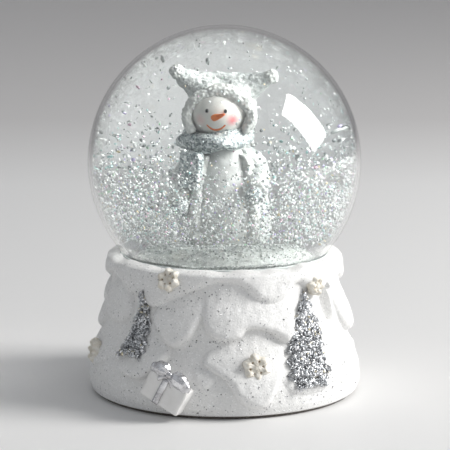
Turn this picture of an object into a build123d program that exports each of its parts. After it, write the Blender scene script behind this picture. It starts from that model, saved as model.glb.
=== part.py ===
from build123d import *
import os
import random
from math import asin, cos, degrees, hypot, radians, sin, sqrt

# Water-filled snow globe: a glass ball with a snowman inside, held by a rubber
# stopper in a cast base that is modelled as snow drifts, with small decorations.
# Millimetres. +Z up, origin at the centre of the underside, front towards -Y.
# Azimuths are in degrees from the front, positive towards +X.

# ---- driving dimensions ----
globe_radius = 32.5  # outside of the glass ball
glass_wall = 0.9
neck_inset = 4.6  # from the seat's circle in to the outside of the glass neck
neck_wall = 1.2
neck_length = 5.2  # below the ball
base_height = 33.9  # up to the rim around the glass
base_radius = 32.7  # at the belly of the base
foot_inset = 0.7  # from the belly to the foot
seat_radius = 24.6  # where the rim meets the glass
seat_drop = 0.3  # from the top of the rim down to that circle
seat_gap = 0.45  # between the glass and its seat, filled by the adhesive
collar_width = 3.8  # from the seat to the outside of the snow collar
waist_inset = 0.8  # from the collar to the waist below it
pad_thickness = 0.8
pad_inset = 1.0  # from the foot to the edge of the pad
pad_edge = 0.2
plug_length = 7.0  # of the stopper above the neck's mouth
flange_thickness = 1.6
mound_height = 8.6  # of the snowy ground above the stopper
mound_shoulder = 1.6
head_room = 12.4  # from the snowman's bobbles up to the glass
liquid_gap = 0.15  # between the liquid and the inside of the glass
figure_gap = 0.7  # between the snowman and the space the liquid turns in
neck_fit = 0.1  # stopper and ground in the neck
seam = 0.05  # between pieces that are bonded to each other

# decorations on the base
tree_thickness = 1.3
right_tree_height = 21.5
right_tree_width = 13.0
left_tree_height = 15.5
left_tree_width = 9.0
back_tree_height = 18.0
back_tree_width = 11.0
boss_radius = 3.1
boss_thickness = 1.7
boss_sunk = 0.9
gift_width = 10.3
gift_height = 6.4
gift_depth = 6.0
gift_sunk = 2.6
ribbon_width = 1.6
ribbon_thickness = 0.25
bow_length = 3.6
bow_height = 2.2
bow_depth = 1.5

# flakes that float in the liquid
flake_size = 0.8  # across the corners of one hexagonal flake
flake_thickness = 0.1
flake_count = 44  # in each of the two colours

# ---- heights and places that follow ----
seat_height = base_height - seat_drop
globe_centre = seat_height + sqrt(globe_radius**2 - seat_radius**2)
glass_inside = globe_radius - glass_wall
neck_radius = seat_radius - neck_inset
neck_bore = neck_radius - neck_wall
neck_mouth = globe_centre - sqrt(globe_radius**2 - neck_radius**2) - neck_length
socket_floor = neck_mouth - flange_thickness
plug_top = neck_mouth + plug_length
figure_floor = plug_top + mound_height
figure_height = globe_centre + glass_inside - head_room - figure_floor
collar_radius = seat_radius + seat_gap + collar_width
waist_radius = collar_radius - waist_inset
foot_radius = base_radius - foot_inset


def ball_point(radius, height):
    """The point at a height on a ball about the globe's centre, in the XZ plane."""
    return (sqrt(radius**2 - (height - globe_centre) ** 2), height)


def ball_point_at(radius, across):
    """The lower point on the same ball at a distance from the axis."""
    return (across, globe_centre - sqrt(radius**2 - across**2))


def wall_points(outward=0.0):
    """The base's outline as (radius, height), moved outward by a distance."""
    span = base_height - pad_thickness
    middle_radius = (base_radius + waist_radius) / 2
    outline = [
        (foot_radius, 0.0),
        (base_radius, 0.11),
        (base_radius - 0.3, 0.25),
        (middle_radius + 0.8, 0.41),
        (middle_radius - 0.4, 0.58),
        (waist_radius, 0.72),
        (collar_radius, 0.83),
        (collar_radius - 0.6, 0.92),
        (collar_radius - 2.2, 0.99),
    ]
    return [(r + outward, pad_thickness + share * span) for r, share in outline]


def wall_radius(height):
    """The base's radius at a height, by straight lines between its outline points."""
    points = wall_points()
    for (r0, z0), (r1, z1) in zip(points, points[1:]):
        if height <= z1:
            return r0 + (r1 - r0) * (height - z0) / (z1 - z0)
    return points[-1][0]


def wall_plane(azimuth, share, outward=0.0, lean=0.0, roll=0.0):
    """A plane that faces out of the base at an azimuth and a share of its height."""
    height = share * base_height
    radius = wall_radius(height) + outward
    a, tilt = radians(azimuth), radians(lean)
    facing = Plane(
        origin=(radius * sin(a), -radius * cos(a), height),
        x_dir=(cos(a), sin(a), 0),
        z_dir=(sin(a) * cos(tilt), -cos(a) * cos(tilt), sin(tilt)),
    )
    return facing.rotated((0, 0, roll))


def upright_plane(azimuth):
    """A plane through the base's axis that faces an azimuth."""
    a = radians(azimuth)
    return Plane(origin=(0, 0, 0), x_dir=(cos(a), sin(a), 0), z_dir=(sin(a), -cos(a), 0))


def fig(x, y, z):
    """A place on the snowman, given as shares of the snowman's height."""
    return (x * figure_height, y * figure_height, figure_floor + z * figure_height)


# ---- the pad under the base ----
with BuildPart() as felt_pad:
    with BuildSketch(Plane.XY):
        Circle(foot_radius - pad_inset)
    extrude(amount=pad_thickness)
    chamfer(felt_pad.edges().group_by(Axis.Z)[0], pad_edge)

# ---- the cast base ----
# Each drift is a rounded lump of snow: azimuth, share of the base's height where
# its middle is, its radius, and how far it stands out of the wall.
drifts = [
    (-20, 0.80, 11.0, 0.9),
    (-17, 0.57, 10.0, 1.0),
    (1, 0.61, 11.0, 1.1),
    (21, 0.82, 9.0, 0.9),
    (14, 0.22, 10.0, 0.7),
    (-62, 0.69, 9.0, 1.0),
    (-41, 0.22, 9.0, 0.7),
    (66, 0.66, 9.0, 1.0),
    (90, 0.82, 9.0, 0.8),
    (82, 0.42, 10.0, 0.9),
    (-90, 0.82, 9.0, 0.8),
    (-93, 0.45, 10.0, 0.8),
    (112, 0.62, 10.0, 1.0),
    (130, 0.80, 9.0, 0.9),
    (133, 0.24, 10.0, 0.6),
    (178, 0.62, 11.0, 1.0),
    (-163, 0.80, 9.0, 0.9),
    (-172, 0.24, 10.0, 0.6),
    (-116, 0.64, 10.0, 1.0),
    (-112, 0.22, 10.0, 0.6),
]
seat_ball = globe_radius + seat_gap
socket_radius = neck_radius + seat_gap
seat_edge = ball_point(seat_ball, base_height)
seat_foot = ball_point_at(seat_ball, socket_radius)
seat_middle = ball_point_at(seat_ball, (seat_edge[0] + seat_foot[0]) / 2)

trees = {
    # name: azimuth, share of the base's height where its foot is, height, width
    "tree_right": (38, 0.18, right_tree_height, right_tree_width),
    "tree_left": (-42, 0.37, left_tree_height, left_tree_width),
    "tree_back_right": (155, 0.26, back_tree_height, back_tree_width),
    "tree_back_left": (-140, 0.22, back_tree_height, back_tree_width),
}
bosses = [
    # azimuth, share of the base's height, lean of its face upward
    (-27, 0.915, 32),
    (-74, 0.31, 8),
    (48, 0.85, 0),
    (12.5, 0.355, 6),
    (124, 0.28, 0),
    (178, 0.35, 6),
    (-160, 0.52, 8),
    (-115, 0.46, 8),
]
gift_plane = wall_plane(-22.6, 0.195, lean=4, roll=-27)
gift_front = gift_plane.offset(gift_depth - gift_sunk)


def wall_band(inner, outer):
    """The section of a skin that follows the base's wall between two distances."""
    with BuildSketch(Plane.XZ) as band:
        with BuildLine():
            near = Spline(*wall_points(inner))
            far = Spline(*wall_points(outer))
            Line(near @ 0, far @ 0)
            Line(near @ 1, far @ 1)
        make_face()
    return band.sketch


def tree_outline(azimuth, foot, height, width, margin=0.0):
    """A fir tree's three tiers, drawn on an upright plane through the base's axis."""
    tiers = ((0.0, 0.5, 1.0), (0.27, 0.76, 0.74), (0.52, 1.0, 0.5))
    with BuildSketch(upright_plane(azimuth)) as outline:
        for low, top, across in tiers:
            bottom = foot * base_height + low * height - margin
            peak = foot * base_height + top * height + margin
            half = across * width / 2 + margin
            tip = 0.03 * width + margin
            with BuildLine():
                Polyline((-half, bottom), (half, bottom), (tip, peak), (-tip, peak), close=True)
            make_face()
    return outline.sketch


with BuildPart() as tree_pockets:
    for size_and_place in trees.values():
        extrude(tree_outline(*size_and_place, margin=0.25), amount=2 * base_radius)
    revolve(wall_band(0, 6 * tree_thickness), axis=Axis.Z, mode=Mode.INTERSECT)

with BuildPart() as base_casting:
    with BuildSketch(Plane.XZ):
        with BuildLine():
            wall = Spline(*wall_points())
            rim = Line(wall @ 1, (seat_edge[0], base_height))
            Polyline(rim @ 1, (0, base_height), (0, pad_thickness), wall @ 0)
        make_face()
    revolve(axis=Axis.Z)
    for azimuth, share, radius, stands_out in drifts:
        with Locations(wall_plane(azimuth, share, outward=stands_out - radius).location):
            Sphere(radius)
    with BuildSketch(Plane.XY.offset(base_height)):
        Circle(2 * base_radius)
    extrude(amount=base_height, mode=Mode.SUBTRACT)
    with BuildSketch(Plane.XY.offset(pad_thickness)):
        Circle(2 * base_radius)
    extrude(amount=-base_height, mode=Mode.SUBTRACT)
    with BuildSketch(Plane.XZ):
        with BuildLine():
            ThreePointArc(seat_edge, seat_middle, seat_foot)
            Polyline(
                seat_foot,
                (socket_radius, socket_floor),
                (0, socket_floor),
                (0, base_height),
                seat_edge,
            )
        make_face()
    revolve(axis=Axis.Z, mode=Mode.SUBTRACT)
    add(tree_pockets.part, mode=Mode.SUBTRACT)
    for azimuth, share, lean in bosses:
        with BuildSketch(wall_plane(azimuth, share, outward=-boss_sunk, lean=lean)):
            Circle(boss_radius + seam)
        extrude(amount=3 * boss_thickness, mode=Mode.SUBTRACT)
    with BuildSketch(gift_plane.offset(-gift_sunk)):
        Rectangle(gift_width + 2 * seam, gift_height + 2 * seam)
    extrude(amount=2 * gift_depth, mode=Mode.SUBTRACT)
    with BuildSketch(gift_front.offset(-bow_depth - seam)):
        Rectangle(gift_width, gift_height + 4 * bow_height)
    extrude(amount=2 * gift_depth, mode=Mode.SUBTRACT)

# ---- the decorations on the base ----
tree_parts = {}
for name, size_and_place in trees.items():
    with BuildPart() as tree:
        extrude(tree_outline(*size_and_place), amount=2 * base_radius)
        revolve(wall_band(seam, seam + tree_thickness), axis=Axis.Z, mode=Mode.INTERSECT)
    tree_parts[name] = tree.part

with BuildPart() as snowflake_bosses:
    for azimuth, share, lean in bosses:
        with BuildSketch(wall_plane(azimuth, share, outward=-boss_sunk, lean=lean)):
            Circle(0.45 * boss_radius)
            with PolarLocations(0.64 * boss_radius, 6):
                Circle(0.36 * boss_radius)
        extrude(amount=boss_thickness)

with BuildPart() as gift_box:
    with BuildSketch(gift_plane.offset(-gift_sunk)):
        Rectangle(gift_width, gift_height)
    extrude(amount=gift_depth)

# The ribbon runs down the front and back over the top; the bow stands on top.
gift_top = gift_height / 2 + ribbon_thickness
ribbon_place = -0.07 * gift_width
with BuildPart() as gift_ribbon:
    with BuildSketch(gift_front):
        with Locations((ribbon_place, ribbon_thickness / 2)):
            Rectangle(ribbon_width, gift_height + ribbon_thickness)
    extrude(amount=ribbon_thickness)
    with BuildSketch(gift_front):
        with Locations((ribbon_place, gift_height / 2)):
            Rectangle(ribbon_width, ribbon_thickness, align=(Align.CENTER, Align.MIN))
    extrude(amount=-bow_depth - ribbon_thickness)

knot_size = 0.6 * bow_height
with BuildPart() as gift_bow:
    with BuildSketch(gift_front.offset(-bow_depth)):
        with Locations((ribbon_place, gift_top)):
            Rectangle(knot_size, knot_size, align=(Align.CENTER, Align.MIN))
        for side in (-1, 1):
            centre = (ribbon_place + side * 0.55 * bow_length, gift_top + 0.6 * bow_height)
            with Locations(Location(centre, 12 * side)):
                Ellipse(bow_length / 2, bow_height / 2)
                Ellipse(0.3 * bow_length, 0.25 * bow_height, mode=Mode.SUBTRACT)
    extrude(amount=bow_depth)

# ---- the glass, its adhesive and its stopper ----
with BuildPart() as glass_globe:
    with BuildSketch(Plane.XZ):
        with BuildLine():
            neck_top = ball_point_at(globe_radius, neck_radius)
            bore_top = ball_point_at(glass_inside, neck_bore)
            outer_side = (globe_radius, globe_centre)
            inner_side = (glass_inside, globe_centre)
            ThreePointArc(neck_top, outer_side, (0, globe_centre + globe_radius))
            Line((0, globe_centre + globe_radius), (0, globe_centre + glass_inside))
            ThreePointArc((0, globe_centre + glass_inside), inner_side, bore_top)
            Polyline(bore_top, (neck_bore, neck_mouth), (neck_radius, neck_mouth), neck_top)
        make_face()
    revolve(axis=Axis.Z)

with BuildPart() as adhesive_ring:
    inner = globe_radius + seam
    outer = seat_ball - seam
    ring_foot = seat_radius - 0.68 * neck_inset
    with BuildSketch(Plane.XZ):
        with BuildLine():
            near = ThreePointArc(
                ball_point(inner, seat_height),
                ball_point_at(inner, (seat_radius + ring_foot) / 2),
                ball_point_at(inner, ring_foot),
            )
            far = ThreePointArc(
                ball_point(outer, seat_height),
                ball_point_at(outer, (seat_radius + ring_foot) / 2),
                ball_point_at(outer, ring_foot),
            )
            Line(near @ 0, far @ 0)
            Line(near @ 1, far @ 1)
        make_face()
    revolve(axis=Axis.Z)

plug_radius = neck_bore - neck_fit
with BuildPart() as rubber_stopper:
    with BuildSketch(Plane.XY.offset(socket_floor)):
        Circle(neck_radius)
    extrude(amount=flange_thickness)
    with BuildSketch(Plane.XY.offset(neck_mouth)):
        Circle(plug_radius)
    extrude(amount=plug_length)

# ---- the snowy ground that the snowman stands on ----
mound_flat = 0.26 * figure_height


def mound_points(upward=0.0):
    """Control points (radius, height) of the ground's slope, from its shoulder to its flat."""
    rise = mound_height - mound_shoulder
    run = plug_radius - mound_flat
    slope = [(0.0, 0.0), (0.04, 0.7), (0.3, 0.85), (0.6, 1.0), (1.0, 1.0)]
    low = plug_top + mound_shoulder + upward
    return [(plug_radius - share * run, low + up * rise) for share, up in slope]


with BuildPart() as snow_ground:
    with BuildSketch(Plane.XZ):
        with BuildLine():
            top_line = Bezier(*mound_points())
            Polyline(
                top_line @ 1,
                (0, figure_floor),
                (0, plug_top),
                (plug_radius, plug_top),
                top_line @ 0,
            )
        make_face()
    revolve(axis=Axis.Z)

settled_depth = 0.5
with BuildPart() as settled_glitter:
    with BuildSketch(Plane.XZ):
        with BuildLine():
            under = Bezier(*mound_points(seam))
            over = Bezier(*mound_points(settled_depth))
            Line(under @ 0, over @ 0)
            Line(under @ 1, over @ 1)
        make_face()
    revolve(axis=Axis.Z)

# ---- the snowman ----
head_middle = fig(-0.033, -0.015, 0.727)
head_radius = 0.166 * figure_height
head_half_height = 0.149 * figure_height
neck_end = figure_floor + 0.590 * figure_height


def body_points(outward=0.0):
    """The pear-shaped body as (radius, height), from its foot to the neck."""
    pear = [
        (0.184, 0.0),
        (0.209, 0.087),
        (0.207, 0.203),
        (0.176, 0.349),
        (0.145, 0.450),
        (0.112, 0.520),
        (0.070, 0.560),
    ]
    return [(r * figure_height + outward, figure_floor + z * figure_height) for r, z in pear]


def body_section(outward=0.0):
    """Half of the body's section, down to its flat foot and up to its neck."""
    with BuildSketch(Plane.XZ) as section:
        with BuildLine():
            side = Spline(*body_points(outward))
            Polyline(side @ 1, ((side @ 1).X, neck_end), (0, neck_end), (0, figure_floor), side @ 0)
        make_face()
    return section.sketch


def head_section(outward=0.0):
    """Half of the egg-shaped head's section, flat below where it rests on the neck."""
    across, up = head_radius + outward, head_half_height + outward
    chin = asin((head_middle[2] - neck_end) / up)
    turns = [-chin + step / 8 * (radians(90) + chin) for step in range(9)]
    egg = [(head_middle[0] + across * cos(t), head_middle[2] + up * sin(t)) for t in turns]
    with BuildSketch(Plane.XZ.offset(-head_middle[1])) as section:
        with BuildLine():
            side = Spline(*egg, tangents=((sin(chin) * across, cos(chin) * up), (-1, 0)))
            Polyline(side @ 1, (head_middle[0], neck_end), side @ 0)
        make_face()
    return section.sketch


head_axis = Axis((head_middle[0], head_middle[1], 0), (0, 0, 1))

with BuildPart() as snowman_body:
    revolve(body_section(), axis=Axis.Z)

with BuildPart() as snowman_head:
    revolve(head_section(), axis=head_axis)

with BuildPart() as body_clearance:
    revolve(body_section(seam), axis=Axis.Z)

with BuildPart() as head_clearance:
    revolve(head_section(seam), axis=head_axis)

# The coat is a shell round the back and sides; its edging frames the white front.
coat_thickness = 0.028 * figure_height
edging_thickness = 0.042 * figure_height


def coat_band(thickness, start):
    """The section of a shell on the body, on an upright plane at an azimuth."""
    with BuildSketch(upright_plane(start - 90)) as band:
        with BuildLine():
            under = Spline(*body_points(seam)[:6])
            over = Spline(*body_points(seam + thickness)[:6])
            Line(under @ 0, over @ 0)
            Line(under @ 1, over @ 1)
        make_face()
    return band.sketch


coat_opening = 38  # half of the open front, in degrees
edging_arc = 16
with BuildPart() as coat:
    revolve(
        coat_band(coat_thickness, coat_opening + edging_arc + 1),
        axis=Axis.Z,
        revolution_arc=360 - 2 * (coat_opening + edging_arc + 1),
    )

with BuildPart() as coat_edging:
    revolve(coat_band(edging_thickness, coat_opening), axis=Axis.Z, revolution_arc=edging_arc)
    revolve(
        coat_band(edging_thickness, -coat_opening - edging_arc),
        axis=Axis.Z,
        revolution_arc=edging_arc,
    )

with BuildPart() as coat_clearance:
    with BuildSketch(Plane.XZ):
        with BuildLine():
            side = Spline(*body_points(edging_thickness + 2 * seam)[:6])
            Polyline(side @ 1, (0, (side @ 1).Y), (0, figure_floor), side @ 0)
        make_face()
    revolve(axis=Axis.Z)

scarf_middle = -0.045 * figure_height
scarf_radius = 0.134 * figure_height
with BuildPart() as scarf:
    with BuildSketch(Plane.XZ):
        with Locations((scarf_middle + scarf_radius, figure_floor + 0.580 * figure_height)):
            Ellipse(0.058 * figure_height, 0.056 * figure_height)
    revolve(axis=Axis((scarf_middle, 0, 0), (0, 0, 1)))
    add(head_clearance.part, mode=Mode.SUBTRACT)
    add(coat_clearance.part, mode=Mode.SUBTRACT)
    add(body_clearance.part, mode=Mode.SUBTRACT)

scarf_tail_plane = upright_plane(-45).offset(0.225 * figure_height)
with BuildPart() as scarf_tail:
    with BuildSketch(scarf_tail_plane):
        with Locations((0, figure_floor + 0.424 * figure_height)):
            RectangleRounded(0.095 * figure_height, 0.176 * figure_height, 0.02 * figure_height)
    extrude(amount=0.045 * figure_height)
    add(coat_clearance.part, mode=Mode.SUBTRACT)

# ---- arms, each a sleeve with a fluffy cuff and a mitten ----
arms = {
    # side: shoulder, elbow, wrist
    "left": (fig(-0.135, 0.03, 0.455), fig(-0.222, 0.02, 0.360), fig(-0.232, -0.085, 0.265)),
    "right": (fig(0.125, 0.0, 0.470), fig(0.190, -0.05, 0.400), fig(0.172, -0.165, 0.330)),
}
sleeve_radius = 0.052 * figure_height
cuff_radius = 0.064 * figure_height
cuff_length = 0.036 * figure_height
mitten_radius = 0.046 * figure_height
arm_parts = {}
hands = {}
for side, (shoulder, elbow, wrist) in arms.items():
    with BuildLine() as bend:
        ThreePointArc(shoulder, elbow, wrist)
    start = Plane(origin=bend.line @ 0, z_dir=bend.line % 0)
    end = Plane(origin=bend.line @ 1, z_dir=bend.line % 1)
    with BuildPart() as sleeve:
        with BuildSketch(start):
            Circle(sleeve_radius)
        sweep(path=bend.line)
        add(coat_clearance.part, mode=Mode.SUBTRACT)
    with BuildPart() as cuff:
        with BuildSketch(end):
            Circle(cuff_radius)
        extrude(amount=cuff_length)
        add(coat_clearance.part, mode=Mode.SUBTRACT)
    with BuildPart() as mitten:
        with BuildSketch(end.offset(cuff_length)):
            Circle(mitten_radius)
        extrude(amount=mitten_radius)
        hands[side] = end.offset(cuff_length + mitten_radius).origin
        with Locations(hands[side]):
            Sphere(mitten_radius)
        with BuildSketch(end.offset(cuff_length)):
            Circle(2 * mitten_radius)
        extrude(amount=-2 * mitten_radius, mode=Mode.SUBTRACT)
        add(coat_clearance.part, mode=Mode.SUBTRACT)
    arm_parts["sleeve_" + side] = sleeve.part
    arm_parts["cuff_" + side] = cuff.part
    arm_parts["mitten_" + side] = mitten.part

# ---- the face: eyes, carrot nose and a smile ----
face_centre = fig(-0.046, 0, 0.727)


def face_plane(across, up):
    """A plane on the face, facing out of the head, at offsets from the face's middle."""
    x = face_centre[0] - head_middle[0] + across * figure_height
    z = face_centre[2] - head_middle[2] + up * figure_height
    inside = 1 - (x / head_radius) ** 2 - (z / head_half_height) ** 2
    y = -head_radius * sqrt(inside)
    normal = (x / head_radius**2, y / head_radius**2, z / head_half_height**2)
    place = (head_middle[0] + x, head_middle[1] + y, head_middle[2] + z)
    return Plane(origin=place, x_dir=(1, 0, 0), z_dir=normal)


eye_radius = 0.011 * figure_height
with BuildPart() as eyes:
    for across in (-0.051, 0.051):
        with Locations(face_plane(across, 0.025).location):
            Sphere(eye_radius)
    add(head_clearance.part, mode=Mode.SUBTRACT)

nose_length = 0.072 * figure_height
nose_plane = face_plane(0, -0.004).offset(-0.2 * nose_length)
with BuildPart() as carrot_nose:
    with BuildSketch(nose_plane):
        Circle(0.022 * figure_height)
    with BuildSketch(nose_plane.offset(nose_length)):
        Circle(0.006 * figure_height)
    loft()
    add(head_clearance.part, mode=Mode.SUBTRACT)

mouth_radius = 0.009 * figure_height
mouth_ends = [face_plane(across, -0.058).origin for across in (-0.048, 0.048)]
with BuildPart() as mouth:
    with BuildLine():
        smile = ThreePointArc(mouth_ends[0], face_plane(0, -0.084).origin, mouth_ends[1])
    with BuildSketch(Plane(origin=smile @ 0, z_dir=smile % 0)):
        Circle(mouth_radius)
    sweep()
    add(head_clearance.part, mode=Mode.SUBTRACT)

# ---- the two-cornered hat with a rolled brim and bobbles ----
bobble_radius = 0.040 * figure_height
bobbles = {"left": fig(-0.264, 0.0, 0.940), "right": fig(0.252, 0.0, 0.912)}
brim_radius = 0.036 * figure_height
brim_plane = Plane.XZ.offset(-head_middle[1] + 0.085 * figure_height)
brim_centre = (head_middle[0] + 0.021 * figure_height, head_middle[2] - 0.02 * figure_height)
brim_half_width = 0.153 * figure_height
brim_half_height = 0.140 * figure_height


def brim_path():
    """The brim's centre line, over the face from one cheek to the other."""
    with BuildLine(brim_plane) as line:
        EllipticalCenterArc(
            brim_centre,
            brim_half_width,
            brim_half_height,
            start_angle=-22,
            arc_size=224,
        )
    return line.line


def brim_tube(radius):
    """The rolled brim, as a tube of a given radius along its centre line."""
    with BuildPart() as tube:
        path = brim_path()
        with BuildSketch(Plane(origin=path @ 0, z_dir=path % 0)):
            Circle(radius)
        sweep(path=path)
    return tube.part


with BuildPart() as hat_brim:
    add(brim_tube(brim_radius))
    add(head_clearance.part, mode=Mode.SUBTRACT)

hat_outline = [
    (-0.196, 0.642),
    (-0.203, 0.740),
    (-0.225, 0.850),
    (-0.268, 0.910),
    (-0.235, 0.945),
    (-0.150, 0.918),
    (-0.020, 0.905),
    (0.120, 0.910),
    (0.215, 0.925),
    (0.256, 0.890),
    (0.215, 0.825),
    (0.178, 0.740),
    (0.158, 0.642),
]
hat_front = 0.095 * figure_height
hat_back = 0.190 * figure_height
with BuildPart() as hat:
    with BuildSketch(Plane.XZ.offset(hat_front)):
        with BuildLine():
            outline = [(x * figure_height, figure_floor + z * figure_height) for x, z in hat_outline]
            crown = Spline(*outline)
            Line(crown @ 1, crown @ 0)
        make_face()
    extrude(amount=-hat_front - hat_back)
    with BuildSketch(Plane.XY.offset(figure_floor + 0.58 * figure_height)):
        with Locations((head_middle[0], head_middle[1])):
            Ellipse(0.33 * figure_height, 0.215 * figure_height)
    extrude(amount=0.5 * figure_height, mode=Mode.INTERSECT)
    add(head_clearance.part, mode=Mode.SUBTRACT)
    add(brim_tube(brim_radius + seam), mode=Mode.SUBTRACT)
    for place in bobbles.values():
        with Locations(place):
            Sphere(bobble_radius + seam, mode=Mode.SUBTRACT)

bobble_parts = {}
for side, place in bobbles.items():
    with BuildPart() as bobble:
        with Locations(place):
            Sphere(bobble_radius)
    bobble_parts["bobble_" + side] = bobble.part

# ---- the liquid, which turns about the upright axis with its flakes ----
liquid_radius = glass_inside - liquid_gap
liquid_floor = plug_top + liquid_gap
reaches = [hypot(x, y) + bobble_radius for x, y, _ in bobbles.values()]
reaches += [hypot(hand.X, hand.Y) + mitten_radius for hand in hands.values()]
reaches += [hypot(x, y) + cuff_radius for _, _, (x, y, _) in arms.values()]
clear_radius = max(reaches) + figure_gap
clear_top = max(z for _, _, z in bobbles.values()) + bobble_radius + figure_gap
clear_foot = figure_floor + settled_depth + liquid_gap
ground_side = plug_radius + liquid_gap
clear_chamfer = 0.5 * bobble_radius

with BuildPart() as liquid:
    with BuildSketch(Plane.XZ):
        with BuildLine():
            top = (0, globe_centre + liquid_radius)
            foot = ball_point(liquid_radius, liquid_floor)
            ThreePointArc(foot, (liquid_radius, globe_centre), top)
            Polyline(
                top,
                (0, clear_top),
                (clear_radius - clear_chamfer, clear_top),
                (clear_radius, clear_top - clear_chamfer),
                (clear_radius, clear_foot),
                (ground_side, clear_foot),
                (ground_side, liquid_floor),
                foot,
            )
        make_face()
    revolve(axis=Axis.Z)


def flake_places(seed):
    """Scattered places for flakes, all inside the liquid and away from its walls."""
    chooser = random.Random(seed)
    reach = liquid_radius - flake_size
    places = []
    while len(places) < flake_count:
        x, y, z = (chooser.uniform(-reach, reach) for _ in range(3))
        turn = tuple(chooser.uniform(0, 180) for _ in range(3))
        in_ball = x * x + y * y + z * z < reach * reach
        beside_hollow = hypot(x, y) > clear_radius + flake_size
        over_hollow = z + globe_centre > clear_top + flake_size
        above_ground = z + globe_centre > clear_foot + flake_size
        apart = all(hypot(x - a, y - b, z - c) > 2 * flake_size for (a, b, c), _ in places)
        if in_ball and apart and above_ground and (beside_hollow or over_hollow):
            places.append(((x, y, z), turn))
    return [Location((x, y, z + globe_centre), turn) for (x, y, z), turn in places]


flake_parts = {}
for name, seed in (("silver_flakes", 3), ("pearl_flakes", 8)):
    with BuildPart() as one_flake:
        with BuildSketch(Plane.XY):
            RegularPolygon(flake_size / 2, 6)
        extrude(amount=flake_thickness)
    flake_parts[name] = Part(children=[one_flake.part.moved(place) for place in flake_places(seed)])

# ---- labels and files ----
pieces = {
    "felt_pad": felt_pad.part,
    "base_casting": base_casting.part,
    "snowflake_bosses": snowflake_bosses.part,
    "gift_box": gift_box.part,
    "gift_ribbon": gift_ribbon.part,
    "gift_bow": gift_bow.part,
    "glass_globe": glass_globe.part,
    "adhesive_ring": adhesive_ring.part,
    "rubber_stopper": rubber_stopper.part,
    "snow_ground": snow_ground.part,
    "settled_glitter": settled_glitter.part,
    "snowman_body": snowman_body.part,
    "snowman_head": snowman_head.part,
    "coat": coat.part,
    "coat_edging": coat_edging.part,
    "scarf": scarf.part,
    "scarf_tail": scarf_tail.part,
    "eyes": eyes.part,
    "carrot_nose": carrot_nose.part,
    "mouth": mouth.part,
    "hat": hat.part,
    "hat_brim": hat_brim.part,
    "liquid": liquid.part,
    **tree_parts,
    **arm_parts,
    **bobble_parts,
    **flake_parts,
}
os.makedirs("parts", exist_ok=True)
for name, piece in pieces.items():
    piece.label = name
    export_step(piece, f"parts/{name}.step")
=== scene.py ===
import math

import bmesh
import bpy
import numpy as np
from mathutils import Matrix, Vector, noise


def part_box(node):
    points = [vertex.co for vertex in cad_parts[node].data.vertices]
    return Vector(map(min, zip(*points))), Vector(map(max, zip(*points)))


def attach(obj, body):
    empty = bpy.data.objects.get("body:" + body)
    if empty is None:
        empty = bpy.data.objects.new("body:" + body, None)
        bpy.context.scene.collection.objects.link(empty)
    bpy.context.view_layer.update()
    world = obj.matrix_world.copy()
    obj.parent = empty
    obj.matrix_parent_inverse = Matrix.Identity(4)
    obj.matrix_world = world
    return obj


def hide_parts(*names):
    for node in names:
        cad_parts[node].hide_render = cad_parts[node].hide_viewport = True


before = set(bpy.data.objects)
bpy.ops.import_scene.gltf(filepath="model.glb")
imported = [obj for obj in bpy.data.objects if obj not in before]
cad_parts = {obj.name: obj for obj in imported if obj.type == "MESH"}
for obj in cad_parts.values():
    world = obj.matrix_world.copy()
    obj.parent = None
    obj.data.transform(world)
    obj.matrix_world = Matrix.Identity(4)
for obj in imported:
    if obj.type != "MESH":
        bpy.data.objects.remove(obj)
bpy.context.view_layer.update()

# Snow globe. Sizes below are in millimetres and are turned into metres where a mesh is
# made. Azimuths are in degrees from the front (-Y), positive towards +X.
MM = 0.001
TAU = 2 * math.pi


# ---------------------------------------------------------------- sizes from the frame
def span(node):
    """A node's lowest and highest corners at rest, in millimetres."""
    low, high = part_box(node)
    return np.array(low) / MM, np.array(high) / MM


glass_low, glass_high = span("glass_globe")
globe_radius = (glass_high[0] - glass_low[0]) / 2
globe_centre = glass_high[2] - globe_radius
neck_mouth = glass_low[2]
liquid_high = span("liquid")[1]
liquid_radius = liquid_high[2] - globe_centre
glass_inside = liquid_radius + 0.15
plug_low, plug_high = span("rubber_stopper")
neck_radius = (plug_high[0] - plug_low[0]) / 2
neck_bore = neck_radius - 1.2
plug_top = plug_high[2]
base_low, base_high = span("base_casting")
rim_height = base_high[2]
foot_height = base_low[2]
seat_ball = globe_radius + 0.45


# ---------------------------------------------------------------- mesh helpers
def turn_outward(mesh):
    """Makes every closed shell of a mesh face outward."""
    work = bmesh.new()
    work.from_mesh(mesh)
    bmesh.ops.recalc_face_normals(work, faces=work.faces)
    work.to_mesh(mesh)
    work.free()


def piece_from(name, points, faces, body="root", replaces=(), material=None):
    """A smooth-shaded mesh object from points in millimetres, riding on a body."""
    mesh = bpy.data.meshes.new(name)
    mesh.from_pydata((np.asarray(points) * MM).tolist(), [], [list(f) for f in faces])
    mesh.validate()
    turn_outward(mesh)
    mesh.shade_smooth()
    piece = bpy.data.objects.new(name, mesh)
    bpy.context.scene.collection.objects.link(piece)
    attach(piece, body)
    if replaces:
        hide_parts(*replaces)
    if material:
        mesh.materials.append(material)
    return piece


def sharpen(piece, angle=40):
    """Keeps creases steeper than an angle crisp."""
    piece.data.set_sharp_from_angle(angle=math.radians(angle))
    return piece


def grid_faces(rows, columns, wrap_columns=True, wrap_rows=False):
    """Quads over a grid of points stored row by row."""
    r = np.arange(rows if wrap_rows else rows - 1)
    c = np.arange(columns if wrap_columns else columns - 1)
    r, c = np.meshgrid(r, c, indexing="ij")
    r1, c1 = (r + 1) % rows, (c + 1) % columns
    corners = [r * columns + c, r * columns + c1, r1 * columns + c1, r1 * columns + c]
    return np.stack(corners, axis=-1).reshape(-1, 4)


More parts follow.
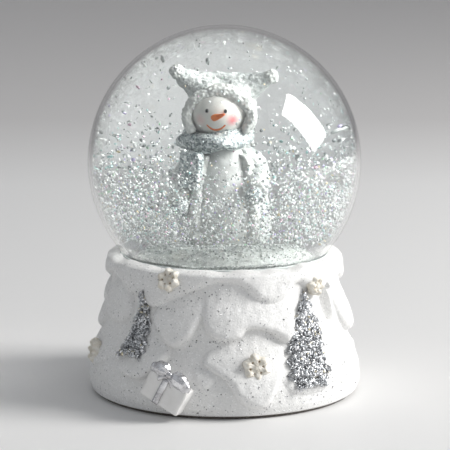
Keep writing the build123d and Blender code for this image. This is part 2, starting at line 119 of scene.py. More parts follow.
def merge_poles(points, faces, columns, pole_rows):
    """Joins each row that lies on the axis into one point, and drops what collapses."""
    target = np.arange(len(points))
    for row in pole_rows:
        target[row * columns:(row + 1) * columns] = row * columns
    kept = np.unique(target)
    place = np.zeros(len(points), dtype=int)
    place[kept] = np.arange(len(kept))
    joined = place[target[faces]]
    tidy = []
    for face in joined.tolist():
        corners = [v for i, v in enumerate(face) if v != face[i - 1]]
        if len(corners) > 2:
            tidy.append(corners)
    return points[kept], tidy


def lathe(outline, columns=96, centre=(0.0, 0.0), closed=False, shape=None):
    """Turns an outline of (radius, height) about an upright axis; shape may move points."""
    outline = np.array(outline, dtype=float)
    turn = np.arange(columns) / columns * TAU
    radius = np.repeat(outline[:, :1], columns, axis=1)
    height = np.repeat(outline[:, 1:2], columns, axis=1)
    x = radius * np.sin(turn) + centre[0]
    y = -radius * np.cos(turn) + centre[1]
    points = np.stack([x, y, height], axis=-1).reshape(-1, 3)
    faces = grid_faces(len(outline), columns, True, closed)
    poles = [i for i, (r, _) in enumerate(outline) if r < 1e-6]
    points, faces = merge_poles(points, faces, columns, poles)
    if shape is not None:
        points = shape(points)
    return points, faces


def smooth_line(points, count):
    """A Catmull-Rom curve through a few points, sampled evenly by parameter."""
    p = np.array(points, dtype=float)
    p = np.vstack([2 * p[0] - p[1], p, 2 * p[-1] - p[-2]])
    u = np.linspace(0, len(points) - 1 - 1e-9, count)
    i = u.astype(int)
    t = (u - i)[:, None]
    a, b, c, d = p[i], p[i + 1], p[i + 2], p[i + 3]
    return 0.5 * (2 * b + (c - a) * t + (2 * a - 5 * b + 4 * c - d) * t**2 + (3 * b - a - 3 * c + d) * t**3)


def arc_line(radius, start, end, count):
    """Points (radius, height) on a ball about the globe's centre, by polar angle from the top."""
    angle = np.radians(np.linspace(start, end, count))
    return np.stack([radius * np.sin(angle), globe_centre + radius * np.cos(angle)], axis=1)


def polar_of(radius, across):
    """The polar angle, from the top, of the lower point of a ball at a distance from the axis."""
    return 180 - math.degrees(math.asin(across / radius))


def rough(points, size, height, seed=0.0, detail=3):
    """Moves points along the direction away from their middle by fractal noise."""
    middle = points.mean(axis=0)
    out = points - middle
    out /= np.maximum(np.linalg.norm(out, axis=1, keepdims=True), 1e-6)
    shift = np.array(
        [noise.fractal(Vector(p) / size + Vector((seed, seed, seed)), 1.0, 2.0, detail) for p in points]
    )
    return points + out * (height * shift)[:, None]


def flake_mesh(centres, facing, sizes, thickness=0.04, sides=6, chooser=None):
    """Thin closed plates at given centres, each facing its own direction."""
    n = len(centres)
    facing = facing / np.linalg.norm(facing, axis=1, keepdims=True)
    helper = np.where(np.abs(facing[:, 2:3]) < 0.9, [[0.0, 0.0, 1.0]], [[1.0, 0.0, 0.0]])
    across = np.cross(helper, facing)
    across /= np.linalg.norm(across, axis=1, keepdims=True)
    up = np.cross(facing, across)
    spin = chooser.uniform(0, TAU, n)[:, None] + np.arange(sides) / sides * TAU
    ring = across[:, None, :] * np.cos(spin)[..., None] + up[:, None, :] * np.sin(spin)[..., None]
    ring = ring * (sizes / 2)[:, None, None]
    half = facing[:, None, :] * thickness / 2
    top = centres[:, None, :] + ring + half
    low = centres[:, None, :] + ring - half
    points = np.concatenate([top, low], axis=1).reshape(-1, 3)
    faces = []
    for k in range(n):
        o = k * 2 * sides
        faces.append([o + i for i in range(sides)])
        faces.append([o + 2 * sides - 1 - i for i in range(sides)])
        for i in range(sides):
            j = (i + 1) % sides
            faces.append([o + sides + i, o + sides + j, o + j, o + i])
    return points, faces


# ---------------------------------------------------------------- material helpers
SOCKETS = {
    "color": "Base Color",
    "roughness": "Roughness",
    "metallic": "Metallic",
    "ior": "IOR",
    "transmission": "Transmission Weight",
    "coat": "Coat Weight",
    "coat_roughness": "Coat Roughness",
    "sheen": "Sheen Weight",
    "subsurface": "Subsurface Weight",
    "specular": "Specular IOR Level",
}


def new_material(name, **settings):
    """A material on the Principled shader with constant settings on its own sockets."""
    material = bpy.data.materials.new(name)
    material.use_nodes = True
    shader = material.node_tree.nodes["Principled BSDF"]
    for key, value in settings.items():
        if key == "color":
            value = (*value, 1.0)
        shader.inputs[SOCKETS[key]].default_value = value
    return material


def node(material, kind, **settings):
    """Adds a shader node and sets its properties and the inputs given by name."""
    made = material.node_tree.nodes.new(kind)
    for key, value in settings.items():
        if key in made.inputs:
            made.inputs[key].default_value = value
        else:
            setattr(made, key, value)
    return made


def join(material, source, output, target, socket):
    material.node_tree.links.new(source.outputs[output], target.inputs[socket])


def shader_of(material):
    return material.node_tree.nodes["Principled BSDF"]


def grain(material, scale, detail=4.0, rough_share=0.6):
    """A noise texture in the object's own coordinates; scale is features per metre."""
    coords = node(material, "ShaderNodeTexCoord")
    texture = node(material, "ShaderNodeTexNoise", Scale=scale, Detail=detail, Roughness=rough_share)
    join(material, coords, "Object", texture, "Vector")
    return texture


def bump_from(material, texture, height_mm, strength=1.0, output=0):
    """Drives the shader's normal with a texture whose full swing is a height in mm."""
    bump = node(material, "ShaderNodeBump", Strength=strength, Distance=height_mm * MM)
    material.node_tree.links.new(texture.outputs[output], bump.inputs["Height"])
    before = shader_of(material).inputs["Normal"]
    if before.is_linked:
        material.node_tree.links.new(before.links[0].from_socket, bump.inputs["Normal"])
    join(material, bump, "Normal", shader_of(material), "Normal")
    return bump


def ramp(material, texture, stops, output=0):
    """A colour ramp fed by a texture; stops are (place, colour)."""
    made = node(material, "ShaderNodeValToRGB")
    material.node_tree.links.new(texture.outputs[output], made.inputs["Fac"])
    elements = made.color_ramp.elements
    while len(elements) < len(stops):
        elements.new(0.5)
    for element, (place, color) in zip(elements, stops):
        element.position = place
        element.color = (*color, 1.0) if len(color) == 3 else color
    return made


# ---------------------------------------------------------------- camera, stage and light
def make_camera():
    camera = bpy.data.objects.new("camera", bpy.data.cameras.new("camera"))
    bpy.context.scene.collection.objects.link(camera)
    camera.data.lens = 187.7
    camera.data.sensor_width = 36
    camera.data.clip_start = 0.01
    camera.data.shift_x = 0.0011
    camera.location = (0, -0.551, 0.140)
    target = Vector((0, 0, 0.0396))
    camera.rotation_euler = (target - camera.location).to_track_quat("-Z", "Y").to_euler()
    bpy.context.scene.camera = camera


def make_stage():
    """A pale floor that turns grey behind the globe and curves up into a far grey wall."""
    wall_distance, wall_height, bend, half_width, front = 1.7, 2.4, 0.3, 2.4, -1.7
    grey_from, grey_to = 0.30, 0.48
    line = [(front, 0.0), (wall_distance - bend, 0.0)]
    for step in range(1, 13):
        a = math.radians(90 * step / 12)
        line.append((wall_distance - bend + bend * math.sin(a), bend - bend * math.cos(a)))
    line.append((wall_distance, wall_height))
    points = []
    for y, z in line:
        points += [(-half_width, y, z), (half_width, y, z)]
    faces = [(2 * i, 2 * i + 1, 2 * i + 3, 2 * i + 2) for i in range(len(line) - 1)]
    mesh = bpy.data.meshes.new("studio_sweep")
    mesh.from_pydata(points, [], faces)
    mesh.shade_smooth()
    sweep = bpy.data.objects.new("studio_sweep", mesh)
    bpy.context.scene.collection.objects.link(sweep)
    material = new_material("pale_studio", roughness=0.55, specular=0.25)
    coords = node(material, "ShaderNodeTexCoord")
    split = node(material, "ShaderNodeSeparateXYZ")
    join(material, coords, "Object", split, "Vector")
    depth = node(material, "ShaderNodeMapRange")
    depth.inputs["From Min"].default_value = grey_from
    depth.inputs["From Max"].default_value = grey_to
    join(material, split, "Y", depth, "Value")
    shade = ramp(material, depth, [(0.0, (0.77, 0.765, 0.76)), (1.0, (0.64, 0.625, 0.62))])
    join(material, shade, "Color", shader_of(material), "Base Color")
    mesh.materials.append(material)


def area_light(name, place, target, size, power, color=(1, 1, 1), height=None):
    data = bpy.data.lights.new(name, "AREA")
    data.shape = "RECTANGLE"
    data.size = size
    data.size_y = height or size
    data.energy = power
    data.color = color
    lamp = bpy.data.objects.new(name, data)
    bpy.context.scene.collection.objects.link(lamp)
    lamp.location = place
    lamp.rotation_euler = (Vector(target) - Vector(place)).to_track_quat("-Z", "Y").to_euler()
    return lamp


def make_light():
    world = bpy.data.worlds.new("soft_room")
    bpy.context.scene.world = world
    world.use_nodes = True
    world.node_tree.nodes["Background"].inputs["Color"].default_value = (0.93, 0.96, 1.0, 1)
    world.node_tree.nodes["Background"].inputs["Strength"].default_value = 0.42
    middle = (0, 0, globe_centre * MM)
    window = area_light(
        "window_right", (0.79, -0.09, 0.475), middle, 0.33, 10.8, (1.0, 0.99, 0.97), 0.58
    )
    away = (window.location - Vector(middle)).normalized()
    along = Vector((0.48, 0.29, -0.83))
    along = (along - away * along.dot(away)).normalized()
    window.rotation_euler = Matrix((along.cross(away), along, away)).transposed().to_euler()
    bpy.context.scene.view_settings.view_transform = "Standard"


make_camera()
make_stage()
make_light()


# ---------------------------------------------------------------- glass and liquid
def let_light_in(material):
    """Shadow rays pass straight through, so that lamps light what is inside."""
    output = next(n for n in material.node_tree.nodes if n.type == "OUTPUT_MATERIAL")
    path = node(material, "ShaderNodeLightPath")
    clear = node(material, "ShaderNodeBsdfTransparent")
    mix = node(material, "ShaderNodeMixShader")
    join(material, path, "Is Shadow Ray", mix, "Fac")
    join(material, shader_of(material), "BSDF", mix, 1)
    join(material, clear, "BSDF", mix, 2)
    join(material, mix, "Shader", output, "Surface")


def clear_material(name, ior, color, specular, ripple_mm):
    """A clear solid whose surface ripples very slightly."""
    material = new_material(
        name, color=color, roughness=0.0, ior=ior, transmission=1.0, specular=specular
    )
    wave = grain(material, 60.0, 1.0)
    bump_from(material, wave, ripple_mm, 0.3)
    let_light_in(material)
    return material


def make_globe():
    """A blown ball with a neck; its inner skin, wet by the liquid, hardly reflects."""
    outer = clear_material("blown_glass", 1.50, (1.0, 1.0, 1.0), 0.5, 0.02)
    inner = clear_material("wet_glass", 1.50, (1.0, 1.0, 1.0), 0.05, 0.0)
    outside = arc_line(globe_radius, 0, polar_of(globe_radius, neck_radius), 90)
    inside = arc_line(glass_inside, polar_of(glass_inside, neck_bore), 0, 90)
    neck = [(neck_radius, neck_mouth + 0.3), (neck_radius - 0.3, neck_mouth), (neck_bore, neck_mouth)]
    outline = np.vstack([outside, neck, inside])
    points, faces = lathe(outline, 160)
    globe = piece_from("globe", points, faces, replaces=["glass_globe"])
    globe.data.materials.append(outer)
    globe.data.materials.append(inner)
    middle = np.array([0, 0, globe_centre])
    for face in globe.data.polygons:
        place = np.array(face.center) / MM
        if np.linalg.norm(place - middle) < glass_inside + 0.3 and place[2] > neck_mouth + 0.5:
            face.material_index = 1


def make_liquid():
    """The liquid as one closed ball with a flat foot on the stopper."""
    foot = plug_top + 0.15
    across = math.sqrt(liquid_radius**2 - (globe_centre - foot) ** 2)
    side = arc_line(liquid_radius, 0, polar_of(liquid_radius, across), 90)
    edge = [(across - 0.5, foot - 0.02), (across / 2, foot), (0, foot)]
    points, faces = lathe(np.vstack([side, edge]), 160)
    water = clear_material("still_liquid", 1.33, (0.955, 0.988, 0.982), 0.05, 0.0)
    piece_from(
        "liquid_body", points, faces, "swirl", replaces=["liquid"], material=water
    )


# ---------------------------------------------------------------- the cast base
WALL_SCALE = 30.0  # millimetres per radian used when drips are laid out on the wall

WALL_LINE = [
    # height, radius of the bare wall under the drips
    (0.8, 31.9),
    (2.5, 32.3),
    (6.5, 32.1),
    (9.5, 31.2),
    (12.0, 29.9),
    (15.0, 28.9),
    (20.0, 28.0),
    (24.0, 27.2),
    (26.5, 26.7),
    (29.0, 26.5),
    (31.0, 26.3),
    (32.6, 26.0),
]

COLLAR_EDGE = [
    # azimuth, height of the lower edge of the snow collar round the rim
    (-180, 28.0),
    (-150, 26.0),
    (-122, 29.5),
    (-97, 26.6),
    (-78, 29.6),
    (-62, 28.8),
    (-46, 25.6),
    (-37, 24.4),
    (-31, 25.0),
    (-22, 27.2),
    (-11, 29.9),
    (-4, 31.2),
    (4, 31.0),
    (9, 29.6),
    (14, 27.4),
    (20, 25.9),
    (26, 25.9),
    (31, 27.3),
    (35, 29.4),
    (39, 30.2),
    (45, 28.4),
    (54, 26.6),
    (61, 26.4),
    (70, 28.0),
    (80, 28.3),
    (96, 26.2),
    (112, 29.6),
    (132, 26.2),
    (152, 29.4),
    (180, 28.0),
]

# Lobes of snow on the wall. Each has a thickness, the heights where it starts to swell
# and is full (going down), the width of its rounded lip, and its outline as
# (azimuth, height).
LOBES = {
    "centre": (2.5, 32, 19, 2.1, (
        (-12, 31), (-12, 26), (-11, 22), (-8, 19.4), (-3, 18.1), (3, 17.6), (8, 18.4), (11, 20.2),
        (15, 20.5), (20, 19.4), (25, 17.6), (29, 16.8), (33, 19), (34, 25), (30, 32), (6, 35), (-8, 35),
    )),
    "centre_left": (2.3, 30, 19, 2.0, (
        (-35, 24), (-35, 21), (-31, 18.9), (-27, 17), (-22, 16), (-18, 16.9), (-14, 19),
        (-11, 22.3), (-9, 26), (-12, 29), (-22, 28), (-31, 26.5),
    )),
    "big_lower": (2.6, 20, 8, 1.9, (
        (-1, 17), (-7, 15.6), (-10, 13.4), (-6, 11.5), (0, 9.6), (4, 6.8), (8, 4.2), (13, 2.7),
        (17, 3.2), (21, 6), (24, 9.6), (27, 13.4), (26, 17), (12, 20),
    )),
    "low_patch": (0.9, 14, 9, 1.8, ((-14, 13), (-13, 9), (-9, 7), (-5, 8), (-2, 11), (-6, 14.5))),
    "left_mound": (3.0, 21, 11, 1.9, (
        (-48, 18), (-52, 12.5), (-49, 9.8), (-43, 8.6), (-37, 8.2), (-31, 9.7), (-26, 12.4),
        (-24, 15.5), (-28, 19), (-38, 21),
    )),
    "left_oval": (1.7, 34, 26, 2.1, (
        (-66, 29), (-77, 25.5), (-78, 21.5), (-71, 19.4), (-63, 18.8), (-55, 19.6), (-51, 21.4),
        (-50, 24), (-53, 27.5), (-59, 29.5),
    )),
    "left_low": (1.3, 19, 10, 2.0, (
        (-56, 17), (-58, 13), (-64, 9.5), (-75, 7.3), (-84, 8.5), (-89, 13), (-80, 17.5), (-66, 18),
    )),
    "far_left": (1.8, 26, 17, 1.9, (
        (-96, 26), (-100, 20), (-96, 16.5), (-88, 15), (-81, 16), (-78.5, 19), (-80, 24), (-86, 27),
    )),
    "right_ridge": (2.4, 30, 16, 2.1, (
        (67, 34), (66.5, 27), (67.5, 23), (71, 19), (76, 16), (82, 14.6), (89, 16), (93, 20),
        (93, 28), (88, 34),
    )),
    "right_low": (0.9, 22, 9, 3.0, (
        (50, 20), (51, 14), (53, 8), (58, 5), (66, 5), (74, 7), (80, 12), (72, 18), (64, 19.5), (56, 21),
    )),
    "under_tree": (0.9, 12, 6, 1.6, (
        (25, 9), (29, 5.6), (37, 4.4), (46, 5), (53, 7.2), (52, 11), (38, 12), (27, 11.5),
    )),
}

# Copies of lobes that carry the sculpting round the back: name, turn of a mirrored copy,
# and how much lower it sits.
BACK_LOBES = (
    ("centre", 182, 0.5),
    ("centre_left", 176, -0.6),
    ("big_lower", 196, -0.4),
    ("left_mound", 176, 0.3),
    ("left_oval", 188, 0.4),
    ("left_low", 178, 0.0),
    ("right_low", 176, 0.6),
    ("right_low", 203, -1.0),
    ("centre_left", 132, -0.2),
    ("big_lower", 232, 1.0),
)

HOLLOW = (
    (55, 27.6), (55, 24), (57, 21.4), (60, 19.8), (63.5, 19.5),
    (66, 21.6), (65.5, 24.8), (62, 27.4), (58, 28.6),
)


def round_lip(distance, lip):
    """0 outside an edge, rising as a quarter circle to 1 at a lip's width inside it."""
    t = np.clip(distance / lip, 0, 1)
    return np.sqrt(np.maximum(1 - (1 - t) ** 2, 0))


def inside_outline(azimuth, height, outline):
    """Distance in millimetres inside a smoothed closed outline; negative outside it."""
    corners = np.array(outline, dtype=float)
    count = len(corners)
    wrapped = np.vstack([corners[-2:], corners, corners[:2]])
    curve = smooth_line(wrapped, 8 * (count + 3) + 1)[16:-16]
    middle = corners[:, 0].mean()
    x = np.radians((azimuth - middle + 180) % 360 - 180) * WALL_SCALE
    px = np.radians(curve[:, 0] - middle) * WALL_SCALE
    pz = curve[:, 1]
    out = np.full(np.shape(x), -9.0)
    close = (np.abs(x) < np.abs(px).max() + 3) & (height > pz.min() - 3) & (height < pz.max() + 3)
    qx, qz = x[close], height[close]
    best = np.full(len(qx), 1e9)
    within = np.zeros(len(qx), dtype=bool)
    for k in range(len(px)):
        ax, az, bx, bz = px[k - 1], pz[k - 1], px[k], pz[k]
        dx, dz = bx - ax, bz - az
        share = np.clip(((qx - ax) * dx + (qz - az) * dz) / max(dx * dx + dz * dz, 1e-9), 0, 1)
        best = np.minimum(best, np.hypot(qx - ax - share * dx, qz - az - share * dz))
        if dz != 0:
            spans = (az > qz) != (bz > qz)
            within ^= spans & (qx < (bx - ax) * (qz - az) / dz + ax)
    out[close] = np.where(within, best, -best)
    return out


def soft_max(a, b, softness):
    """The larger of two heights, rounded where they meet."""
    h = np.clip(0.5 + 0.5 * (a - b) / softness, 0, 1)
    return b + (a - b) * h + softness * h * (1 - h)


def waves(azimuth, height, seed, scale):
    """Smooth bumps made of a few crossed sine waves, about -1 to 1."""
    chooser = np.random.default_rng(seed)
    total = np.zeros(np.shape(azimuth))
    count = 9
    for _ in range(count):
        turns = int(round(chooser.uniform(0.3, 1.0) * scale)) * chooser.choice([-1, 1])
        rise = chooser.uniform(-1.0, 1.0) * scale / WALL_SCALE
        total += np.sin(np.radians(azimuth) * turns + height * rise + chooser.uniform(0, TAU))
    return total / math.sqrt(count * 2)


def sculpt():
    """The height of all the snow over the bare wall, on a fine grid of azimuth and height."""
    azimuth, height = np.meshgrid(GRID_AZIMUTH, GRID_HEIGHT, indexing="ij")
    wander = 1.6 * waves(azimuth, height, 11, 13)
    sway = 0.35 * waves(azimuth, height, 12, 16)
    a, z = azimuth + wander, height + sway
    relief = np.zeros(azimuth.shape)
    turned = []
    for name, turn, drop in BACK_LOBES:
        thickness, start, full, lip, outline = LOBES[name]
        mirrored = [(turn - corner[0], corner[1] - drop) for corner in outline]
        turned.append((thickness, start - drop, full - drop, lip, mirrored))
    for thickness, start, full, lip, outline in list(LOBES.values()) + turned:
        swell = np.clip((start - z) / (start - full), 0, 1)
        swell = swell * swell * (3 - 2 * swell)
        lump = thickness * round_lip(inside_outline(a, z, outline), lip) * (0.12 + 0.88 * swell)
        relief = soft_max(relief, lump, 0.3)
    edge = list(COLLAR_EDGE)
    before = [(x - 360, y) for x, y in edge[-4:-1]]
    after = [(x + 360, y) for x, y in edge[1:4]]
    around = before + edge + after + [(after[-1][0], 60), (before[0][0], 60)]
    collar = inside_outline(a, z, around)
    relief = soft_max(relief, 2.0 * round_lip(collar, 2.2), 0.25)
    relief -= 2.6 * round_lip(inside_outline(a, z, HOLLOW), 1.5)
    fine = 0.10 * waves(azimuth, height, 13, 24) + 0.045 * waves(azimuth, height, 14, 80)
    low_band = np.clip((height - 1.4) / 2.2, 0, 1)
    return relief * low_band + fine * np.clip((height - 1.0) / 3.0, 0.2, 1)


GRID_AZIMUTH = np.linspace(-180, 180, 961)
GRID_HEIGHT = np.linspace(0.0, 34.4, 216)
SNOW = sculpt()
SNOW[-1] = SNOW[0]


def snow_over(azimuth, height):
    """The snow's height over the bare wall, read from the sculpted grid."""
    u = ((azimuth + 180) % 360) / 360 * (len(GRID_AZIMUTH) - 1)
    v = np.clip(height / GRID_HEIGHT[-1], 0, 1) * (len(GRID_HEIGHT) - 1)
    i = np.minimum(u.astype(int), len(GRID_AZIMUTH) - 2)
    j = np.minimum(v.astype(int), len(GRID_HEIGHT) - 2)
    s, t = u - i, v - j
    low = SNOW[i, j] * (1 - s) + SNOW[i + 1, j] * s
    high = SNOW[i, j + 1] * (1 - s) + SNOW[i + 1, j + 1] * s
    return low * (1 - t) + high * t


def wall_radius(azimuth, height):
    """The radius of the snowy wall at azimuths and heights."""
    azimuth, height = np.broadcast_arrays(np.asarray(azimuth, float), np.asarray(height, float))
    line = np.array(WALL_LINE)
    return np.interp(height, line[:, 0], line[:, 1]) + snow_over(azimuth, height)


def wall_place(azimuth, height, outward=0.0):
    """Points on the snowy wall, moved outward."""
    radius = wall_radius(azimuth, height) + outward
    a = np.radians(azimuth)
    return np.stack([radius * np.sin(a), -radius * np.cos(a), height + 0 * radius], axis=-1)


def make_base():
    """The casting: foot, snowy wall, rounded rim, and the cradle the glass sits in."""
    columns, wall_rows = 760, 190
    azimuth = np.arange(columns) * 360 / columns - 180
    a = np.radians(azimuth)
    rings = []
    for radius in (0.0, 12.0, 24.0, 30.6):
        rings.append((np.full(columns, radius), np.full(columns, foot_height)))
    foot = wall_radius(azimuth, np.full(columns, 0.8 + foot_height))
    rings.append((foot - 0.45, np.full(columns, foot_height + 0.02)))
    wall_top = 32.4
    for share in np.linspace(0, 1, wall_rows):
        height = np.full(columns, foot_height + 0.35 + share * (wall_top - foot_height - 0.35))
        rings.append((wall_radius(azimuth, height), height))
    # the rim rolls over from the wall to the glass; its top rises and falls a little
    crest = rim_height - 0.45 + 0.4 * waves(azimuth, 0 * azimuth, 15, 22)
    crest = np.minimum(crest, rim_height)
    outer = rings[-1][0]
    seat = np.sqrt(seat_ball**2 - (crest - 0.35 - globe_centre) ** 2) - 0.25
    for turn in np.radians(np.linspace(12, 84, 8)):
        radius = outer + (seat - outer) * (1 - math.cos(turn))
        rings.append((radius, wall_top + (crest - wall_top) * math.sin(turn)))
    rings.append((seat, crest - 0.12))
    for share in np.linspace(0.0, 1.0, 12):
        start = crest - 0.35
        socket_reach = neck_radius + 0.45
        end = globe_centre - math.sqrt(seat_ball**2 - socket_reach**2)
        height = start + share * (end - start)
        rings.append((np.sqrt(seat_ball**2 - (height - globe_centre) ** 2), height))
    socket_floor = plug_low[2] + 0 * azimuth
    rings.append((np.full(columns, neck_radius + 0.45), socket_floor + 0.4))
    rings.append((np.full(columns, neck_radius + 0.1), socket_floor))
    rings.append((np.full(columns, 10.0), socket_floor))
    rings.append((np.full(columns, 0.0), socket_floor))
    rows = len(rings)
    points = np.array([np.stack([r * np.sin(a), -r * np.cos(a), z], axis=-1) for r, z in rings])
    faces = grid_faces(rows, columns)
    flat, tidy = merge_poles(points.reshape(-1, 3), faces, columns, [0, rows - 1])
    base = piece_from(
        "snowy_base", flat, tidy, replaces=["base_casting"], material=snow_paint()
    )
    return base


def snow_paint():
    """Sandy matte white, with a few silver grains in it."""
    paint = new_material("snow_paint", roughness=0.6, specular=0.35)
    speck = node(paint, "ShaderNodeTexVoronoi", Scale=3800.0)
    coords = node(paint, "ShaderNodeTexCoord")
    join(paint, coords, "Object", speck, "Vector")
    split = node(paint, "ShaderNodeSeparateColor")
    join(paint, speck, "Color", split, "Color")
    sand = ramp(
        paint,
        split,
        [
            (0.0, (0.36, 0.36, 0.37)),
            (0.012, (0.55, 0.55, 0.55)),
            (0.03, (0.75, 0.75, 0.74)),
            (0.90, (0.82, 0.815, 0.805)),
            (0.98, (0.93, 0.93, 0.93)),
        ],
    )
    join(paint, sand, "Color", shader_of(paint), "Base Color")
    glint = ramp(paint, split, [(0.0, (0, 0, 0)), (0.965, (0, 0, 0)), (0.975, (0.7, 0.7, 0.7))], 1)
    join(paint, glint, "Color", shader_of(paint), "Metallic")
    bump_from(paint, grain(paint, 1500.0, 6.0, 0.7), 0.16, 0.9)
    bump_from(paint, speck, 0.05, 0.6)
    return paint


def scatter_specks():
    """Stray glitter on the snow: along the creases, round the trees, and a little all over."""
    chooser = np.random.default_rng(61)
    near = (
        # azimuth, height, spread across and up in millimetres, how many
        (38, 15, 5.5, 7.0, 90),
        (38, 5, 6.0, 1.6, 40),
        (54, 9, 3.0, 3.0, 30),
        (-42, 20, 3.0, 5.0, 36),
        (-12, 29, 3.5, 0.8, 26),
        (-28, 25, 3.0, 0.7, 16),
        (-2, 17.4, 4.0, 0.6, 22),
        (5, 14, 7.0, 3.0, 12),
        (-2, 26, 6.0, 3.5, 12),
        (-10, 5, 3.5, 2.0, 26),
        (-30, 7, 4.0, 2.5, 16),
        (155, 14, 5.0, 6.0, 60),
        (-140, 13, 5.0, 6.0, 60),
    )
    azimuth, height = [], []
    for a, z, wide, tall, count in near:
        azimuth.append(a + np.degrees(wide * chooser.standard_normal(count) / 30))
        height.append(z + tall * chooser.standard_normal(count))
    azimuth.append(chooser.uniform(-180, 180, 60))
    height.append(chooser.uniform(2, 32, 60))
    azimuth, height = np.concatenate(azimuth), np.clip(np.concatenate(height), 1.6, 32.2)
    centres = wall_place(azimuth, height, 0.04)
    a = np.radians(azimuth)
    outward = np.stack([np.sin(a), -np.cos(a), 0 * a], axis=-1)
    facing = outward + 0.35 * chooser.standard_normal(centres.shape)
    sizes = chooser.uniform(0.20, 0.38, len(centres))
    points, faces = flake_mesh(centres, facing, sizes, 0.07, 6, chooser)
    material = metal_flakes(
        "stray_silver",
        (0.6, 0.6, 0.62),
        [
            (0.0, (0.14, 0.14, 0.15)),
            (0.35, (0.42, 0.42, 0.44)),
            (0.6, (0.75, 0.76, 0.78)),
            (0.85, (0.97, 0.97, 0.98)),
        ],
        0.25,
    )
    piece_from("stray_glitter", points, faces, material=material)


make_globe()
make_liquid()
make_base()


# ---------------------------------------------------------------- glitter
def metal_flakes(name, color, spread, roughness=0.28, coat=0.0, metallic=1.0):
    """Bright film flakes, each with its own tint; spread is a list of (share, colour)."""
    material = new_material(
        name, color=color, metallic=metallic, roughness=roughness, coat=coat, coat_roughness=0.1
    )
    each = node(material, "ShaderNodeNewGeometry")
    tint = node(material, "ShaderNodeValToRGB")
    tint.color_ramp.interpolation = "CONSTANT"
    join(material, each, "Random Per Island", tint, "Fac")
    elements = tint.color_ramp.elements
    while len(elements) < len(spread):
        elements.new(0.5)
    for element, (place, shade) in zip(elements, spread):
        element.position = place
        element.color = (*shade, 1.0)
    join(material, tint, "Color", shader_of(material), "Base Color")
    crumple = grain(material, 3000.0, 2.0)
    bump_from(material, crumple, 0.03, 0.6)
    return material


def make_tree_silver():
    return metal_flakes(
        "tree_silver",
        (0.75, 0.76, 0.78),
        [
            (0.0, (0.42, 0.43, 0.45)),
            (0.22, (0.68, 0.70, 0.72)),
            (0.55, (0.86, 0.87, 0.89)),
            (0.85, (0.97, 0.97, 0.98)),
            (0.97, (0.72, 0.66, 0.50)),
        ],
        0.25,
        0.0,
        0.75,
    )


# ---------------------------------------------------------------- trees on the wall
TREES = {
    # node: azimuths of the foot and the tip, foot, height, width, seed
    "tree_right": (38.0, 42.5, 7.4, 19.8, 10.4, 21),
    "tree_left": (-43.0, -41.0, 13.8, 13.8, 6.4, 22),
    "tree_back_right": (155, 156.5, 9.4, 17.2, 9.6, 23),
    "tree_back_left": (-140, -141.0, 8.0, 17.2, 9.6, 24),
}
TIER_COUNT = 7
FULL_SHAPE = ((0, 0.6), (0.07, 0.88), (0.2, 1.0), (0.55, 0.92), (0.75, 0.58), (0.9, 0.30), (1, 0.06))
LEAN_SHAPE = ((0, 0.9), (0.15, 1.0), (0.5, 0.72), (0.8, 0.42), (1, 0.08))


def tier_of(share):
    """Which tier of branches a height is in, and how far up that tier, from 0 to 1."""
    place = np.clip(share, 0, 0.999) ** 0.9 * TIER_COUNT
    return np.floor(place), place - np.floor(place)


def make_tree(name, silver, shaded_core):
    """A fir in relief: ragged tiers close to the wall, buried in glitter flakes."""
    foot_azimuth, tip_azimuth, foot, height, width, seed = TREES[name]
    chooser = np.random.default_rng(seed)

    shape = np.array(LEAN_SHAPE if name == "tree_left" else FULL_SHAPE)

    def half_width(share):
        _, within = tier_of(share)
        full = width / 2 * np.interp(share, shape[:, 0], shape[:, 1])
        return np.maximum(full * (1.1 - 0.32 * within), 0.3)

    def azimuth_at(share):
        return foot_azimuth + (tip_azimuth - foot_azimuth) * share

    rows, columns = 110, 34
    share = np.linspace(0, 1, rows)
    half = half_width(share) * (1 + 0.12 * chooser.standard_normal(rows))
    s, u = np.meshgrid(share, np.linspace(-1, 1, columns), indexing="ij")
    _, within = tier_of(s)
    droop = 0.9 * u**2 * (1 - 0.6 * s)
    x = u * half[:, None]
    z = np.maximum(foot + s * height - droop + 0.3 * chooser.standard_normal(s.shape), 1.2)
    rise = (1.0 - 0.45 * within) * (1 - 0.45 * s) * np.sqrt(np.maximum(1 - u**2, 0))
    clumps = 0.35 * waves(np.degrees(x / 30) + azimuth_at(s), z, seed + 90, 95)
    rise = 0.1 + 1.35 * rise + 0.3 * chooser.random(s.shape) + clumps
    rise *= np.clip(np.minimum(s, 1 - s) * 14, 0.3, 1)
    a = azimuth_at(s) + np.degrees(x / 30)
    points, faces = slab(wall_place(a, z, rise), wall_place(a, z, -0.9))
    # The relief wears the dark core paint, which is painted shade showing between the flakes.
    piece_from(name + "_relief", points, faces, material=shaded_core)
    count = int(11 * height * width)
    share = chooser.random(count) ** 1.2
    u = chooser.uniform(-1.1, 1.1, count)
    _, within = tier_of(share)
    dome = np.sqrt(np.maximum(1 - np.clip(u, -1, 1) ** 2, 0))
    z = np.maximum(foot + share * height - 0.9 * u**2 * (1 - 0.6 * share), 1.3)
    z = z + chooser.uniform(-0.4, 0.4, count)
    a = azimuth_at(share) + np.degrees(u * half_width(share) / 30)
    lift = 0.15 + 1.35 * (1.0 - 0.45 * within) * (1 - 0.45 * share) * dome
    lift += 0.35 * waves(a, z, seed + 90, 95)
    centres = wall_place(a, z, lift + chooser.uniform(0.0, 0.4, count))
    outward = np.stack([np.sin(np.radians(a)), -np.cos(np.radians(a)), 0 * a], axis=-1)
    facing = outward + 0.7 * chooser.standard_normal((count, 3))
    sizes = chooser.uniform(0.35, 1.05, count)
    points, faces = flake_mesh(centres, facing, sizes, 0.05, 6, chooser)
    piece_from(
        name + "_glitter", points, faces, replaces=[name], material=silver
    )


